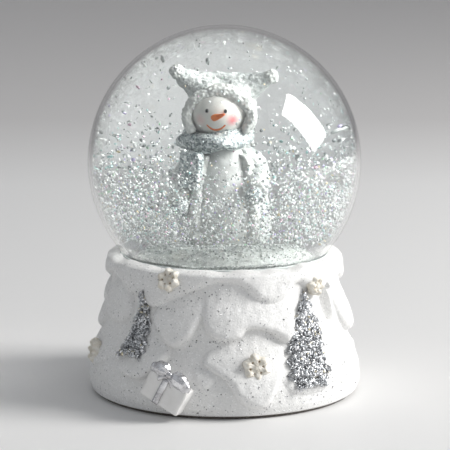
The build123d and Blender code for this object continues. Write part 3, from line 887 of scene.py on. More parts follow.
def slab(front, back):
    """A closed skin from two grids of points that face each other."""
    rows, columns = front.shape[:2]
    points = np.concatenate([front.reshape(-1, 3), back.reshape(-1, 3)])
    sheet = grid_faces(rows, columns, False)
    faces = sheet.tolist() + (sheet[:, ::-1] + rows * columns).tolist()
    index = np.arange(rows * columns).reshape(rows, columns)
    rim = list(index[0]) + list(index[1:, -1]) + list(index[-1, -2::-1]) + list(index[-2:0:-1, 0])
    for k, here in enumerate(rim):
        after = rim[(k + 1) % len(rim)]
        faces.append([after, here, here + rows * columns, after + rows * columns])
    return points, faces


def make_trees():
    silver = make_tree_silver()
    # The tree core is painted dark, down to near black, as painted shade for the gaps between the glitter
    # flakes; only its mottle is random.
    shaded_core = new_material("tree_core_painted_shade", color=(0.42, 0.43, 0.45), roughness=0.4, metallic=0.6)
    mottle = grain(shaded_core, 1500.0)
    tone = ramp(shaded_core, mottle, [(0.3, (0.09, 0.09, 0.10)), (0.62, (0.58, 0.59, 0.61))])
    join(shaded_core, tone, "Color", shader_of(shaded_core), "Base Color")
    bump_from(shaded_core, mottle, 0.15)
    for name in TREES:
        make_tree(name, silver, shaded_core)


# ---------------------------------------------------------------- snowflake bosses
BOSSES = (
    # azimuth, height, lean of the face upward, size
    (-27, 31.4, 30, 0.95),
    (-75, 10.8, 8, 1.0),
    (48.5, 28.7, 4, 0.8),
    (13, 12.3, 4, 1.08),
    (124, 9.5, 0, 1.0),
    (178, 11.9, 6, 1.0),
    (-160, 17.6, 8, 1.0),
    (-115, 15.6, 8, 1.0),
)


def boss_mesh(azimuth, height, lean, size, seed):
    """A rosette of six petals round a button, with a hollow between each pair."""
    chooser = np.random.default_rng(seed)
    rings, columns = 22, 84
    spin = chooser.uniform(0, TAU / 6)
    turn = np.arange(columns) / columns * TAU
    edge = 3.1 * size * (0.90 + 0.10 * np.cos(6 * (turn - spin))) + 0.06 * chooser.standard_normal(columns)
    front, pits = [], []
    for share in np.linspace(0, 1, rings):
        r = share * edge
        petal = np.cos(6 * (turn - spin))
        pit = np.exp(-((share - 0.56) ** 2) / 0.010) * np.clip(-petal, 0, 1) ** 1.5
        button = np.exp(-((share / 0.3) ** 4)) * 0.25
        ring = np.exp(-((share - 0.68) ** 2) / 0.05) * (0.35 + 0.25 * petal)
        lift = 0.75 + button + ring - 0.55 * pit - 0.55 * share**6
        lift = lift + 0.05 * chooser.standard_normal(columns) * (share > 0.1)
        front.append(np.stack([r * np.cos(turn), r * np.sin(turn), lift], axis=-1))
        pits.append(pit)
    low = []
    for share in (1.0, 0.5, 0.0):
        r = share * edge * 0.96
        low.append(np.stack([r * np.cos(turn), r * np.sin(turn), np.full(columns, -0.9)], axis=-1))
    points = np.array(front + low).reshape(-1, 3)
    rows = rings + 3
    faces = grid_faces(rows, columns)
    dark = np.zeros(rows * columns)
    dark[: rings * columns] = np.array(pits).reshape(-1)
    shade = dark[faces].mean(axis=1) > 0.5
    points, tidy, shade = merge_with_flags(points, faces, columns, [0, rows - 1], shade)
    a, tilt = math.radians(azimuth), math.radians(lean)
    x_dir = np.array([math.cos(a), math.sin(a), 0])
    z_dir = np.array([math.sin(a) * math.cos(tilt), -math.cos(a) * math.cos(tilt), math.sin(tilt)])
    y_dir = np.cross(z_dir, x_dir)
    origin = wall_place(azimuth, height, 0.0)
    spots_a = azimuth + np.degrees(0.7 * edge * np.cos(turn) / 30)
    spots = wall_place(spots_a, height + 0.7 * edge * np.sin(turn), 0.0) - origin
    origin = origin + z_dir * max(np.percentile(spots @ z_dir, 70) - 0.35, 0.0)
    world = origin + points[:, :1] * x_dir + points[:, 1:2] * y_dir + points[:, 2:] * z_dir
    return world, tidy, shade


def merge_with_flags(points, faces, columns, pole_rows, flags):
    """merge_poles, also dropping the flags of the faces that collapse."""
    target = np.arange(len(points))
    for row in pole_rows:
        target[row * columns:(row + 1) * columns] = row * columns
    kept = np.unique(target)
    place = np.zeros(len(points), dtype=int)
    place[kept] = np.arange(len(kept))
    tidy, flag = [], []
    for face, mark in zip(place[target[faces]].tolist(), flags):
        corners = [v for i, v in enumerate(face) if v != face[i - 1]]
        if len(corners) > 2:
            tidy.append(corners)
            flag.append(bool(mark))
    return points[kept], tidy, flag


def make_bosses():
    cream = new_material("boss_cream", color=(0.80, 0.74, 0.62), roughness=0.6)
    mottle = grain(cream, 900.0)
    tone = ramp(
        cream,
        mottle,
        [(0.3, (0.66, 0.60, 0.49)), (0.55, (0.81, 0.78, 0.71)), (0.8, (0.87, 0.86, 0.82))],
    )
    join(cream, tone, "Color", shader_of(cream), "Base Color")
    bump_from(cream, grain(cream, 1600.0), 0.12, 0.8)
    brown = new_material("boss_brown", color=(0.20, 0.12, 0.06), roughness=0.7)
    stain = grain(brown, 1500.0)
    tone = ramp(brown, stain, [(0.35, (0.22, 0.14, 0.07)), (0.7, (0.55, 0.42, 0.26))])
    join(brown, tone, "Color", shader_of(brown), "Base Color")
    bump_from(brown, stain, 0.1)
    points, faces, flags, count = [], [], [], 0
    for seed, (azimuth, height, lean, size) in enumerate(BOSSES):
        more, tidy, shade = boss_mesh(azimuth, height, lean, size, 40 + seed)
        points.append(more)
        faces += [[v + count for v in face] for face in tidy]
        flags += shade
        count += len(more)
    bosses = piece_from(
        "bosses", np.concatenate(points), faces, replaces=["snowflake_bosses"]
    )
    bosses.data.materials.append(cream)
    bosses.data.materials.append(brown)
    for face, mark in zip(bosses.data.polygons, flags):
        face.material_index = 1 if mark else 0


# ---------------------------------------------------------------- the gift
GIFT_WIDTH, GIFT_HEIGHT, GIFT_OUT, GIFT_SUNK = 10.3, 6.4, 3.4, 2.6


def gift_frame():
    """Where the gift's front is, and its directions across, up and outward."""
    a, tilt, roll = math.radians(-22.6), math.radians(4), math.radians(-27)
    x_dir = np.array([math.cos(a), math.sin(a), 0])
    out = np.array([math.sin(a) * math.cos(tilt), -math.cos(a) * math.cos(tilt), math.sin(tilt)])
    y_dir = np.cross(out, x_dir)
    across = math.cos(roll) * x_dir + math.sin(roll) * y_dir
    up = -math.sin(roll) * x_dir + math.cos(roll) * y_dir
    box_low, box_high = span("gift_box")
    return (box_low + box_high) / 2 + out * (GIFT_OUT + GIFT_SUNK) / 2, across, up, out


def set_in(frame_of, local):
    origin, across, up, out = frame_of
    return origin + local[:, :1] * across + local[:, 1:2] * up + local[:, 2:] * out


def soft_box(width, height, depth, edge, cuts=14):
    """A box with rounded edges as one closed grid-like mesh, about its own middle."""
    points, faces = [], []
    steps = np.linspace(-1, 1, cuts)
    index = {}

    def corner_of(p):
        key = tuple(np.round(p, 5))
        if key not in index:
            index[key] = len(points)
            half = np.array([width, height, depth]) / 2
            q = np.array(p) * half
            inner = np.clip(q, -half + edge, half - edge)
            gap = q - inner
            size = np.linalg.norm(gap)
            points.append(inner + gap / size * edge if size > 1e-9 else q)
        return index[key]

    for axis in range(3):
        for side in (-1, 1):
            others = [k for k in range(3) if k != axis]
            for i in range(cuts - 1):
                for j in range(cuts - 1):
                    loop = []
                    for di, dj in ((0, 0), (1, 0), (1, 1), (0, 1)):
                        p = [0.0, 0.0, 0.0]
                        p[axis] = float(side)
                        p[others[0]] = steps[i + di]
                        p[others[1]] = steps[j + dj]
                        loop.append(corner_of(p))
                    flip = (side > 0) == (axis == 1)
                    faces.append(loop[::-1] if flip else loop)
    return np.array(points), faces


def ribbon_mesh(path, side, width, thickness):
    """A flat closed band that follows a path; side is the direction across the band."""
    path = np.array(path)
    along = np.gradient(path, axis=0)
    along /= np.linalg.norm(along, axis=1, keepdims=True)
    side = np.array(side, dtype=float)
    normal = np.cross(along, side)
    normal /= np.linalg.norm(normal, axis=1, keepdims=True)
    w = np.atleast_1d(width) / 2 * np.ones(len(path))
    ring = []
    for across, out in ((-1, -0.5), (-0.6, 0.2), (0.6, 0.2), (1, -0.5), (0.6, -0.8), (-0.6, -0.8)):
        ring.append(path + side * (across * w)[:, None] + normal * out * thickness)
    points = np.stack(ring, axis=1).reshape(-1, 3)
    rows, columns = len(path), 6
    faces = grid_faces(rows, columns).tolist()
    faces.append(list(range(columns - 1, -1, -1)))
    faces.append([(rows - 1) * columns + k for k in range(columns)])
    return points, faces


def make_gift():
    place = gift_frame()
    depth = GIFT_OUT + GIFT_SUNK
    points, faces = soft_box(GIFT_WIDTH, GIFT_HEIGHT, depth, 0.28)
    points = points + np.array([0, 0, -depth / 2])
    bulge = 1 + 0.012 * np.sin(points[:, 1:2] * 1.3)
    white = new_material("gift_paint", color=(0.83, 0.82, 0.80), roughness=0.42)
    tone = ramp(white, grain(white, 260.0), [(0.3, (0.76, 0.75, 0.73)), (0.7, (0.86, 0.85, 0.84))])
    join(white, tone, "Color", shader_of(white), "Base Color")
    bump_from(white, grain(white, 700.0), 0.05, 0.5)
    piece_from(
        "gift", set_in(place, points * bulge), faces, replaces=["gift_box"], material=white
    )
    silver = new_material("ribbon_silver", color=(0.72, 0.72, 0.74), metallic=0.95, roughness=0.25)
    brushed = grain(silver, 500.0)
    tone = ramp(silver, brushed, [(0.3, (0.40, 0.39, 0.40)), (0.6, (0.85, 0.85, 0.87))])
    join(silver, tone, "Color", shader_of(silver), "Base Color")
    bump_from(silver, brushed, 0.12, 0.7)
    x = -0.65
    top = GIFT_HEIGHT / 2
    down = [(x, y, 0.10) for y in np.linspace(-top, top - 0.2, 16)]
    over = [(x, top + 0.08, z) for z in np.linspace(-0.2, -1.5, 6)]
    band, band_faces = ribbon_mesh(down + over, (1, 0, 0), 1.6, 0.3)
    piece_from(
        "ribbon",
        set_in(place, band),
        band_faces,
        replaces=["gift_ribbon"],
        material=silver,
    )
    points, faces, count = [], [], 0
    for sign, reach, drop in ((-1, 3.9, 0.1), (1, 4.6, 0.5)):
        start = np.array([x + sign * 0.3, top + 0.9, -0.5])
        end = np.array([x + sign * reach, top + 0.9 - drop, -0.7])
        spine = smooth_line([start, (start + end) / 2 + np.array([0, 0.55, 0.15]), end], 26)
        share = np.linspace(0, 1, 26)
        more, loops = tube(spine, 0.55 + 1.25 * np.sin(share ** 0.75 * math.pi * 0.80), 40)
        pleat = np.sin(9 * np.arctan2(more[:, 1] - top - 0.9, more[:, 2] + 0.5))
        pinch = np.clip(np.abs(more[:, 0] - x) / reach, 0, 1)
        middle_line = np.array([0, top + 0.9, -0.5])
        away = (more - middle_line) * np.array([0, 1, 1])
        more = more + away * (0.10 * pleat * (1.1 - pinch))[:, None]
        more[:, 2] = -0.55 + (more[:, 2] + 0.55) * 0.85
        points.append(rough(more, 0.9, 0.16, 12.0))
        faces += [[v + count for v in face] for face in loops]
        count += len(more)
    for sign in (-1, 1):
        tail = smooth_line(
            [
                (x, top + 0.5, 0.1),
                (x + sign * 0.9, top + 0.2, 0.35),
                (x + sign * 1.9, top - 0.9, 0.28),
            ],
            12,
        )
        more, strip = ribbon_mesh(tail, (sign * 0.5, 0.86, 0), np.linspace(0.7, 1.0, 12), 0.25)
        points.append(more)
        faces += [[v + count for v in face] for face in strip]
        count += len(more)
    knot, knot_faces = lathe([(0, -0.8), (0.45, -0.7), (0.75, -0.3), (0.8, 0.2), (0.5, 0.65), (0, 0.8)], 20)
    knot = knot[:, [0, 2, 1]] * np.array([1, 1, 0.8]) + np.array([x, top + 1.1, 0.0])
    points.append(knot)
    faces += [[v + count for v in face][::-1] for face in knot_faces]
    piece_from(
        "bow",
        set_in(place, np.concatenate(points)),
        faces,
        replaces=["gift_bow"],
        material=silver,
    )


# ---------------------------------------------------------------- foot pad, seat and stopper
def make_small_parts():
    """The felt foot, the clear bead the glass sits in, and the stopper in its neck."""
    felt = new_material("felt", color=(0.10, 0.085, 0.07), roughness=0.95, sheen=0.3)
    fibre = grain(felt, 1800.0)
    tone = ramp(felt, fibre, [(0.35, (0.05, 0.04, 0.035)), (0.7, (0.16, 0.14, 0.12))])
    join(felt, tone, "Color", shader_of(felt), "Base Color")
    bump_from(felt, fibre, 0.2)
    low, high = span("felt_pad")
    edge = high[0]
    outline = [
        (0, 0), (edge / 2, 0), (edge - 0.25, 0), (edge, 0.22),
        (edge, 0.78), (edge / 2, 0.79), (0, 0.79),
    ]

    def fuzz(points):
        turn = np.arctan2(points[:, 0], -points[:, 1])
        frayed = 0.06 * np.sin(turn * 37) + 0.05 * np.sin(turn * 91 + 1)
        out = points[:, :2] / np.maximum(np.linalg.norm(points[:, :2], axis=1, keepdims=True), 1e-6)
        points[:, :2] -= out * (0.08 + frayed * (points[:, 2] > 0.1))[:, None]
        return points

    points, faces = lathe(outline, 240, shape=fuzz)
    sharpen(piece_from("foot_felt", points, faces, replaces=["felt_pad"], material=felt))

    bead = new_material("seat_bead", color=(0.86, 0.89, 0.88), roughness=0.25, ior=1.42, coat=0.3)
    wave = grain(bead, 300.0)
    tone = ramp(bead, wave, [(0.3, (0.62, 0.67, 0.66)), (0.7, (0.80, 0.84, 0.83))])
    join(bead, tone, "Color", shader_of(bead), "Base Color")
    bump_from(bead, wave, 0.1, 0.5)
    inner, outer = globe_radius + 0.04, seat_ball - 0.03
    top_out = outer * math.sin(math.acos((globe_centre - rim_height + 0.5) / outer))
    top_in = inner * math.sin(math.acos((globe_centre - rim_height + 0.5) / inner))
    foot_out = polar_of(outer, neck_radius + 1.5)
    foot_in = polar_of(inner, neck_radius + 1.5)
    outer_line = arc_line(outer, foot_out, polar_of(outer, top_out), 14)
    inner_line = arc_line(inner, polar_of(inner, top_in), foot_in, 14)
    bulge = [((top_in + top_out) / 2 + 0.05, rim_height - 0.3)]
    outline = np.vstack([outer_line, bulge, inner_line])
    points, faces = lathe(outline, 200, closed=True)
    piece_from(
        "seat_seal", points, faces, replaces=["adhesive_ring"], material=bead
    )

    rubber = new_material("pale_rubber", color=(0.72, 0.72, 0.70), roughness=0.6)
    tone = ramp(rubber, grain(rubber, 400.0), [(0.3, (0.62, 0.62, 0.60)), (0.7, (0.76, 0.76, 0.74))])
    join(rubber, tone, "Color", shader_of(rubber), "Base Color")
    bump_from(rubber, grain(rubber, 900.0), 0.05)
    plug = neck_bore - 0.15
    low = plug_low[2] + 0.02
    outline = [
        (0, low),
        (neck_radius - 0.6, low),
        (neck_radius - 0.1, low + 0.4),
        (neck_radius - 0.1, neck_mouth - 0.3),
    ]
    outline += [(neck_radius - 0.5, neck_mouth - 0.05), (plug, neck_mouth - 0.02)]
    for z in np.linspace(neck_mouth + 0.8, plug_top - 0.4, 8):
        outline += [(plug, z), (plug - 0.25, z + 0.25)]
    outline += [(plug - 0.6, plug_top), (0, plug_top)]
    points, faces = lathe(outline, 120)
    piece_from(
        "stopper", points, faces, replaces=["rubber_stopper"], material=rubber
    )


# ---------------------------------------------------------------- the ground in the globe
ground_high = span("snow_ground")[1]
figure_floor = ground_high[2]
ground_edge = ground_high[0]


def ground_height(radius, azimuth):
    """The snowy mound's height at a distance from the axis."""
    share = np.clip((ground_edge - radius) / (ground_edge - 8.9), 0, 1)
    rise = np.sin(np.minimum(share * 1.35, 1) * math.pi / 2) ** 0.7
    lumps = 0.35 * waves(azimuth, radius * 1.4, 31, 16) * (share < 0.98)
    return plug_top + 1.6 + (figure_floor - plug_top - 1.65) * rise + lumps * np.sin(share * math.pi)


def make_ground():
    columns = 160
    turn = np.arange(columns) / columns * TAU
    azimuth = np.degrees(turn)
    rings = []
    for radius in np.linspace(0, ground_edge, 60):
        level = ground_height(np.full(columns, radius), azimuth)
        rings.append((np.full(columns, radius), np.minimum(level, figure_floor - 0.02)))
    rings.append((np.full(columns, ground_edge), np.full(columns, plug_top + 0.05)))
    rings.append((np.zeros(columns), np.full(columns, plug_top + 0.05)))
    points = np.array([np.stack([r * np.sin(turn), -r * np.cos(turn), z], axis=-1) for r, z in rings])
    faces = grid_faces(len(rings), columns)
    points, faces = merge_poles(points.reshape(-1, 3), faces, columns, [0, len(rings) - 1])
    snow = new_material("packed_snow", color=(0.80, 0.81, 0.81), roughness=0.7)
    crust = grain(snow, 1100.0, 6.0)
    tone = ramp(snow, crust, [(0.3, (0.36, 0.39, 0.38)), (0.6, (0.66, 0.69, 0.67))])
    join(snow, tone, "Color", shader_of(snow), "Base Color")
    bump_from(snow, crust, 0.35)
    piece_from("ground", points, faces, replaces=["snow_ground"], material=snow)


# ---------------------------------------------------------------- the snowman
figure_height = (span("liquid")[1][2] - 12.25) - figure_floor


def fig(x, y, z):
    """A place on the snowman, given as shares of the snowman's height."""
    return np.array([x * figure_height, y * figure_height, figure_floor + z * figure_height])


def curls(points, normals, size, height, seed=0.0):
    """Rounded little bumps along the normals, like curly plush."""
    out = points.copy()
    for k, (p, n) in enumerate(zip(points, normals)):
        near = noise.voronoi(Vector(p) / size + Vector((seed, seed, seed)))[0][0]
        wide = noise.noise(Vector(p) / (size * 2.5) + Vector((seed + 9, seed, seed)))
        out[k] = p + n * (height * (0.5 - near) + 0.5 * height * wide)
    return out


def mesh_normals(points, faces):
    """Vertex normals of a mesh, by area of the faces round each vertex."""
    tri = np.array([[f[0], f[k], f[k + 1]] for f in faces for k in range(1, len(f) - 1)])
    normal = np.cross(points[tri[:, 1]] - points[tri[:, 0]], points[tri[:, 2]] - points[tri[:, 0]])
    total = np.zeros_like(points)
    for k in range(3):
        np.add.at(total, tri[:, k], normal)
    return total / np.maximum(np.linalg.norm(total, axis=1, keepdims=True), 1e-12)


def ball(centre, radii, rows=28, columns=40):
    """A closed ellipsoid."""
    angle = np.linspace(0, math.pi, rows)
    outline = np.stack([np.sin(angle), np.cos(angle)], axis=1)
    outline[0, 0] = outline[-1, 0] = 0
    points, faces = lathe(outline, columns)
    return points * np.array(radii) + np.array(centre), faces


def tube(path, radii, columns):
    """A closed tube with round ends along a path; radii vary from end to end."""
    path = np.array(path, dtype=float)
    radii = np.array(radii, dtype=float) * np.ones(len(path))
    along = np.gradient(path, axis=0)
    along /= np.linalg.norm(along, axis=1, keepdims=True)
    start, end = [], []
    for angle in np.radians([10, 35, 60, 78]):
        start.append((path[0] - along[0] * radii[0] * math.cos(angle), along[0], radii[0] * math.sin(angle)))
        end.append(
            (path[-1] + along[-1] * radii[-1] * math.cos(angle), along[-1], radii[-1] * math.sin(angle))
        )
    stations = start + list(zip(path, along, radii)) + end[::-1]
    side = np.cross(along[0], [0.31, 0.17, 0.93])
    points = []
    turn = np.arange(columns) / columns * TAU
    for place, direction, radius in stations:
        side = side - direction * np.dot(side, direction)
        side /= np.linalg.norm(side)
        other = np.cross(direction, side)
        points.append(place + radius * (np.outer(np.cos(turn), side) + np.outer(np.sin(turn), other)))
    rows = len(stations)
    points = np.concatenate(points)
    faces = grid_faces(rows, columns).tolist()
    caps = len(points)
    tip0 = stations[0][0] - stations[0][1] * radii[0] * 0.02
    tip1 = stations[-1][0] + stations[-1][1] * radii[-1] * 0.02
    points = np.vstack([points, [tip0], [tip1]])
    last = (rows - 1) * columns
    for k in range(columns):
        j = (k + 1) % columns
        faces.append([caps, j, k])
        faces.append([caps + 1, last + k, last + j])
    return points, faces


def fused(name, shells, cell=0.16, smooth=2):
    """One watertight mesh from closed shells that overlap; returns points and faces."""
    points, faces, count = [], [], 0
    for more, loops in shells:
        points.append(more)
        faces += [[v + count for v in face] for face in loops]
        count += len(more)
    mesh = bpy.data.meshes.new(name + "_shells")
    mesh.from_pydata((np.concatenate(points) * MM).tolist(), [], faces)
    scratch = bpy.data.objects.new(name + "_shells", mesh)
    bpy.context.scene.collection.objects.link(scratch)
    remesh = scratch.modifiers.new("remesh", "REMESH")
    remesh.mode = "VOXEL"
    remesh.voxel_size = cell * MM
    if smooth:
        relax = scratch.modifiers.new("relax", "SMOOTH")
        relax.iterations = smooth
    done = scratch.evaluated_get(bpy.context.evaluated_depsgraph_get()).to_mesh()
    out = np.array([v.co[:] for v in done.vertices]) / MM
    loops = [list(f.vertices) for f in done.polygons]
    scratch.evaluated_get(bpy.context.evaluated_depsgraph_get()).to_mesh_clear()
    bpy.data.objects.remove(scratch)
    bpy.data.meshes.remove(mesh)
    return out, loops


def plush_piece(name, shells, size, height, material, replaces, seed=0.0, cell=0.16):
    points, faces = fused(name, shells, cell)
    points = curls(points, mesh_normals(points, faces), size, height, seed)
    return piece_from(name, points, faces, replaces=replaces, material=material)


BODY_PEAR = (
    (0.182, 0.002),
    (0.204, 0.06),
    (0.211, 0.13),
    (0.207, 0.203),
    (0.176, 0.349),
    (0.145, 0.450),
    (0.112, 0.520),
    (0.070, 0.575),
)


HEAD_RADII = np.array([0.166, 0.166, 0.149])


def body_radius(share):
    """The body's radius in millimetres at a share of the figure's height."""
    pear = np.array(BODY_PEAR)
    return np.interp(share, pear[:, 1], pear[:, 0]) * figure_height


def body_skin(start, end, low, high, inner, outer, rows, columns):
    """A closed shell on the body between two azimuths and two shares of the height."""
    azimuth, share = np.meshgrid(np.linspace(start, end, columns), np.linspace(low, high, rows))
    a = np.radians(azimuth)
    edge = np.minimum(np.minimum(azimuth - start, end - azimuth) / 6.0, 1)
    ends = np.minimum(np.minimum(share - low, high - share) / 0.03, 1)
    rounded = [np.sqrt(np.clip(1 - (1 - np.clip(part, 0, 1)) ** 2, 0, 1)) for part in (edge, ends)]
    puff = rounded[0] * rounded[1]
    level = figure_floor + share * figure_height
    sheets = []
    for extra in (inner + (outer - inner) * (0.25 + 0.75 * puff), np.full(np.shape(puff), inner)):
        radius = body_radius(share) + extra
        sheets.append(np.stack([radius * np.sin(a), -radius * np.cos(a), level], axis=-1))
    return slab(sheets[0], sheets[1])


def make_snowman():
    white = new_material("painted_white", color=(0.62, 0.63, 0.62), roughness=0.5, specular=0.3)
    tone = ramp(white, grain(white, 500.0), [(0.3, (0.52, 0.53, 0.52)), (0.65, (0.66, 0.67, 0.66))])
    join(white, tone, "Color", shader_of(white), "Base Color")
    bump_from(white, grain(white, 900.0), 0.06, 0.7)

    face_paint = new_material("face_paint", color=(0.70, 0.68, 0.65), roughness=0.42, specular=0.4)
    coords = node(face_paint, "ShaderNodeTexCoord")
    cheeks = None
    for x, y, strength in ((1.5, -5.3, 1.0), (-4.3, -4.6, 0.35)):
        spot = node(face_paint, "ShaderNodeVectorMath", operation="DISTANCE")
        join(face_paint, coords, "Object", spot, 0)
        spot.inputs[1].default_value = (x * MM, y * MM, 63.7 * MM)
        fade = node(face_paint, "ShaderNodeMapRange", clamp=True)
        fade.inputs["From Min"].default_value = 0.0015
        fade.inputs["From Max"].default_value = 0.0003
        fade.inputs["To Max"].default_value = strength
        join(face_paint, spot, "Value", fade, "Value")
        if cheeks is None:
            cheeks = fade
        else:
            both = node(face_paint, "ShaderNodeMath", operation="MAXIMUM")
            join(face_paint, cheeks, "Result", both, 0)
            join(face_paint, fade, "Result", both, 1)
            cheeks = both
    blush = node(face_paint, "ShaderNodeValToRGB")
    blush.color_ramp.elements[0].color = (0.70, 0.69, 0.66, 1)
    blush.color_ramp.elements[1].color = (0.74, 0.26, 0.27, 1)
    face_paint.node_tree.links.new(cheeks.outputs[0], blush.inputs["Fac"])
    join(face_paint, blush, "Color", shader_of(face_paint), "Base Color")
    bump_from(face_paint, grain(face_paint, 700.0), 0.04, 0.5)

    plush = new_material("plush_white", color=(0.82, 0.83, 0.82), roughness=0.6, specular=0.3)
    nap = grain(plush, 1600.0, 5.0)
    tone = ramp(plush, nap, [(0.32, (0.50, 0.52, 0.51)), (0.6, (0.67, 0.68, 0.66))])
    join(plush, tone, "Color", shader_of(plush), "Base Color")
    bump_from(plush, nap, 0.12)

    coat_paint = new_material("coat_glitter", color=(0.70, 0.72, 0.72), roughness=0.45, specular=0.5)
    cells = node(coat_paint, "ShaderNodeTexVoronoi", Scale=3200.0)
    where = node(coat_paint, "ShaderNodeTexCoord")
    join(coat_paint, where, "Object", cells, "Vector")
    pick = node(coat_paint, "ShaderNodeSeparateColor")
    join(coat_paint, cells, "Color", pick, "Color")
    tone = ramp(
        coat_paint,
        pick,
        [(0.0, (0.40, 0.43, 0.43)), (0.3, (0.54, 0.57, 0.56)), (0.9, (0.66, 0.68, 0.67))],
    )
    join(coat_paint, tone, "Color", shader_of(coat_paint), "Base Color")
    shine = ramp(coat_paint, pick, [(0.0, (0, 0, 0)), (0.86, (0, 0, 0)), (0.9, (0.7, 0.7, 0.7))], 1)
    join(coat_paint, shine, "Color", shader_of(coat_paint), "Metallic")
    bump_from(coat_paint, cells, 0.06)

    scarf_paint = new_material("scarf_glitter", color=(0.5, 0.52, 0.55), roughness=0.4, metallic=0.35)
    cells = node(scarf_paint, "ShaderNodeTexVoronoi", Scale=2600.0)
    where = node(scarf_paint, "ShaderNodeTexCoord")
    join(scarf_paint, where, "Object", cells, "Vector")
    pick = node(scarf_paint, "ShaderNodeSeparateColor")
    join(scarf_paint, cells, "Color", pick, "Color")
    tone = ramp(
        scarf_paint,
        pick,
        [
            (0.0, (0.16, 0.19, 0.20)),
            (0.35, (0.34, 0.39, 0.40)),
            (0.7, (0.56, 0.61, 0.61)),
            (0.95, (0.86, 0.88, 0.88)),
        ],
    )
    join(scarf_paint, tone, "Color", shader_of(scarf_paint), "Base Color")
    bump_from(scarf_paint, cells, 0.15)

    # body: a lumpy pear
    outline = smooth_line([(r * figure_height, figure_floor + z * figure_height) for r, z in BODY_PEAR], 60)
    outline = np.vstack([[(0, figure_floor + 0.02)], outline, [(0, outline[-1][1])]])
    points, faces = lathe(outline, 90)
    points = rough(points, 3.0, 0.12, 2.0)
    points[:, 2] = np.maximum(points[:, 2], figure_floor + 0.01)
    piece_from("body", points, faces, replaces=["snowman_body"], material=white)

    # head: a wide egg, a little flattened behind the face
    middle = fig(-0.033, -0.015, 0.727)
    head, faces = ball(middle, HEAD_RADII * figure_height, 48, 80)
    head = rough(head, 4.0, 0.06, 4.0)
    piece_from("head", head, faces, replaces=["snowman_head"], material=face_paint)

    # coat round the back and sides, and its two plush edges down the front
    coat_shell = body_skin(55, 305, 0.012, 0.52, 0.06, 0.95, 50, 130)
    points = curls(coat_shell[0], mesh_normals(*coat_shell), 0.9, 0.3, 3.0)
    points[:, 2] = np.maximum(points[:, 2], figure_floor + 0.02)
    piece_from("coat_cloth", points, coat_shell[1], replaces=["coat"], material=coat_paint)
    shells = [body_skin(s, s + 16, 0.015, 0.50, 0.05, 1.45, 70, 20) for s in (38, -54)]
    points = np.concatenate([s[0] for s in shells])
    faces = shells[0][1] + [[v + len(shells[0][0]) for v in f] for f in shells[1][1]]
    points = curls(points, mesh_normals(points, faces), 0.8, 0.5, 7.0)
    points[:, 2] = np.maximum(points[:, 2], figure_floor + 0.02)
    piece_from("coat_trim", points, faces, replaces=["coat_edging"], material=plush)

    # scarf: a fat glittery ring with folds, and a tail over the left of the chest
    turn = np.linspace(0, TAU, 90, endpoint=False)
    ring = []
    for t in turn:
        reach = 0.136 * figure_height * (1 + 0.05 * math.sin(3 * t + 1))
        centre_z = figure_floor + (0.568 + 0.016 * math.sin(t + 0.4)) * figure_height
        around = np.arange(28) / 28 * TAU
        fold = 1 + 0.14 * np.cos(3 * around + 2.5 * math.sin(2 * t))
        across = 0.060 * figure_height * np.cos(around) * fold
        up = 0.056 * figure_height * np.sin(around) * fold
        x = (reach + across) * math.sin(t) - 0.045 * figure_height
        ring.append(np.stack([x, -(reach + across) * math.cos(t), centre_z + up], axis=-1))
    points = np.concatenate(ring)
    faces = grid_faces(90, 28, True, True)
    points = curls(points, mesh_normals(points, faces.tolist()), 0.7, 0.28, 1.0)
    piece_from(
        "scarf_ring", points, faces, replaces=["scarf"], material=scarf_paint
    )
    tail_low, tail_high = span("scarf_tail")
    tail_mid = (tail_low + tail_high) / 2
    height = tail_high[2] - tail_low[2]
    a = math.radians(-45)
    strip, faces = soft_box(0.145 * figure_height, height + 0.8, 0.05 * figure_height, 0.4, 30)
    strip[:, 0] += 0.25 * np.sin(strip[:, 1] * 0.8) - 0.5
    strip[:, 2] += 0.15 * np.sin(strip[:, 0] * 2.6)
    across, out = np.array([math.cos(a), math.sin(a), 0]), np.array([math.sin(a), -math.cos(a), 0])
    points = tail_mid + strip[:, :1] * across + strip[:, 1:2] * np.array([0, 0, 1.0]) + strip[:, 2:] * out
    points = curls(points, mesh_normals(points, faces), 0.7, 0.22, 2.0)
    piece_from(
        "scarf_end", points, faces, replaces=["scarf_tail"], material=scarf_paint
    )

    # arms: sleeve, curly cuff and mitten
    arms = {
        "left": (fig(-0.135, 0.03, 0.455), fig(-0.222, 0.02, 0.360), fig(-0.232, -0.085, 0.265)),
        "right": (fig(0.125, 0.0, 0.470), fig(0.190, -0.05, 0.400), fig(0.172, -0.165, 0.330)),
    }
    for side, (shoulder, elbow, wrist) in arms.items():
        bend = smooth_line([shoulder, elbow, wrist], 30)
        aim = (bend[-1] - bend[-3]) / np.linalg.norm(bend[-1] - bend[-3])
        radii = 0.054 * figure_height * (1 + 0.08 * np.sin(np.linspace(0, 9, 30)))
        points, faces = tube(bend, radii, 26)
        points = curls(points, mesh_normals(points, faces), 0.9, 0.3, 5.0)
        sleeve = "sleeve_" + side
        piece_from(
            sleeve + "_cloth", points, faces, replaces=[sleeve], material=coat_paint
        )
        cuff_at = wrist + aim * 0.018 * figure_height
        turn = np.linspace(0, TAU, 13)[:-1]
        side_dir = np.cross(aim, [0.2, 0.3, 0.9])
        side_dir /= np.linalg.norm(side_dir)
        other = np.cross(aim, side_dir)
        knobs = [ball(cuff_at, (1.7, 1.7, 1.7), 14, 20)]
        for t in turn:
            spot = cuff_at + 0.044 * figure_height * (math.cos(t) * side_dir + math.sin(t) * other)
            knobs.append(ball(spot, (0.85, 0.85, 0.85), 12, 16))
        cuff = "cuff_" + side
        plush_piece(cuff + "_plush", knobs, 0.6, 0.35, plush, [cuff], 8.0)
        palm = wrist + aim * 0.078 * figure_height
        thumb = palm + 0.036 * figure_height * side_dir * (1 if side == "left" else -1)
        size = 0.046 * figure_height
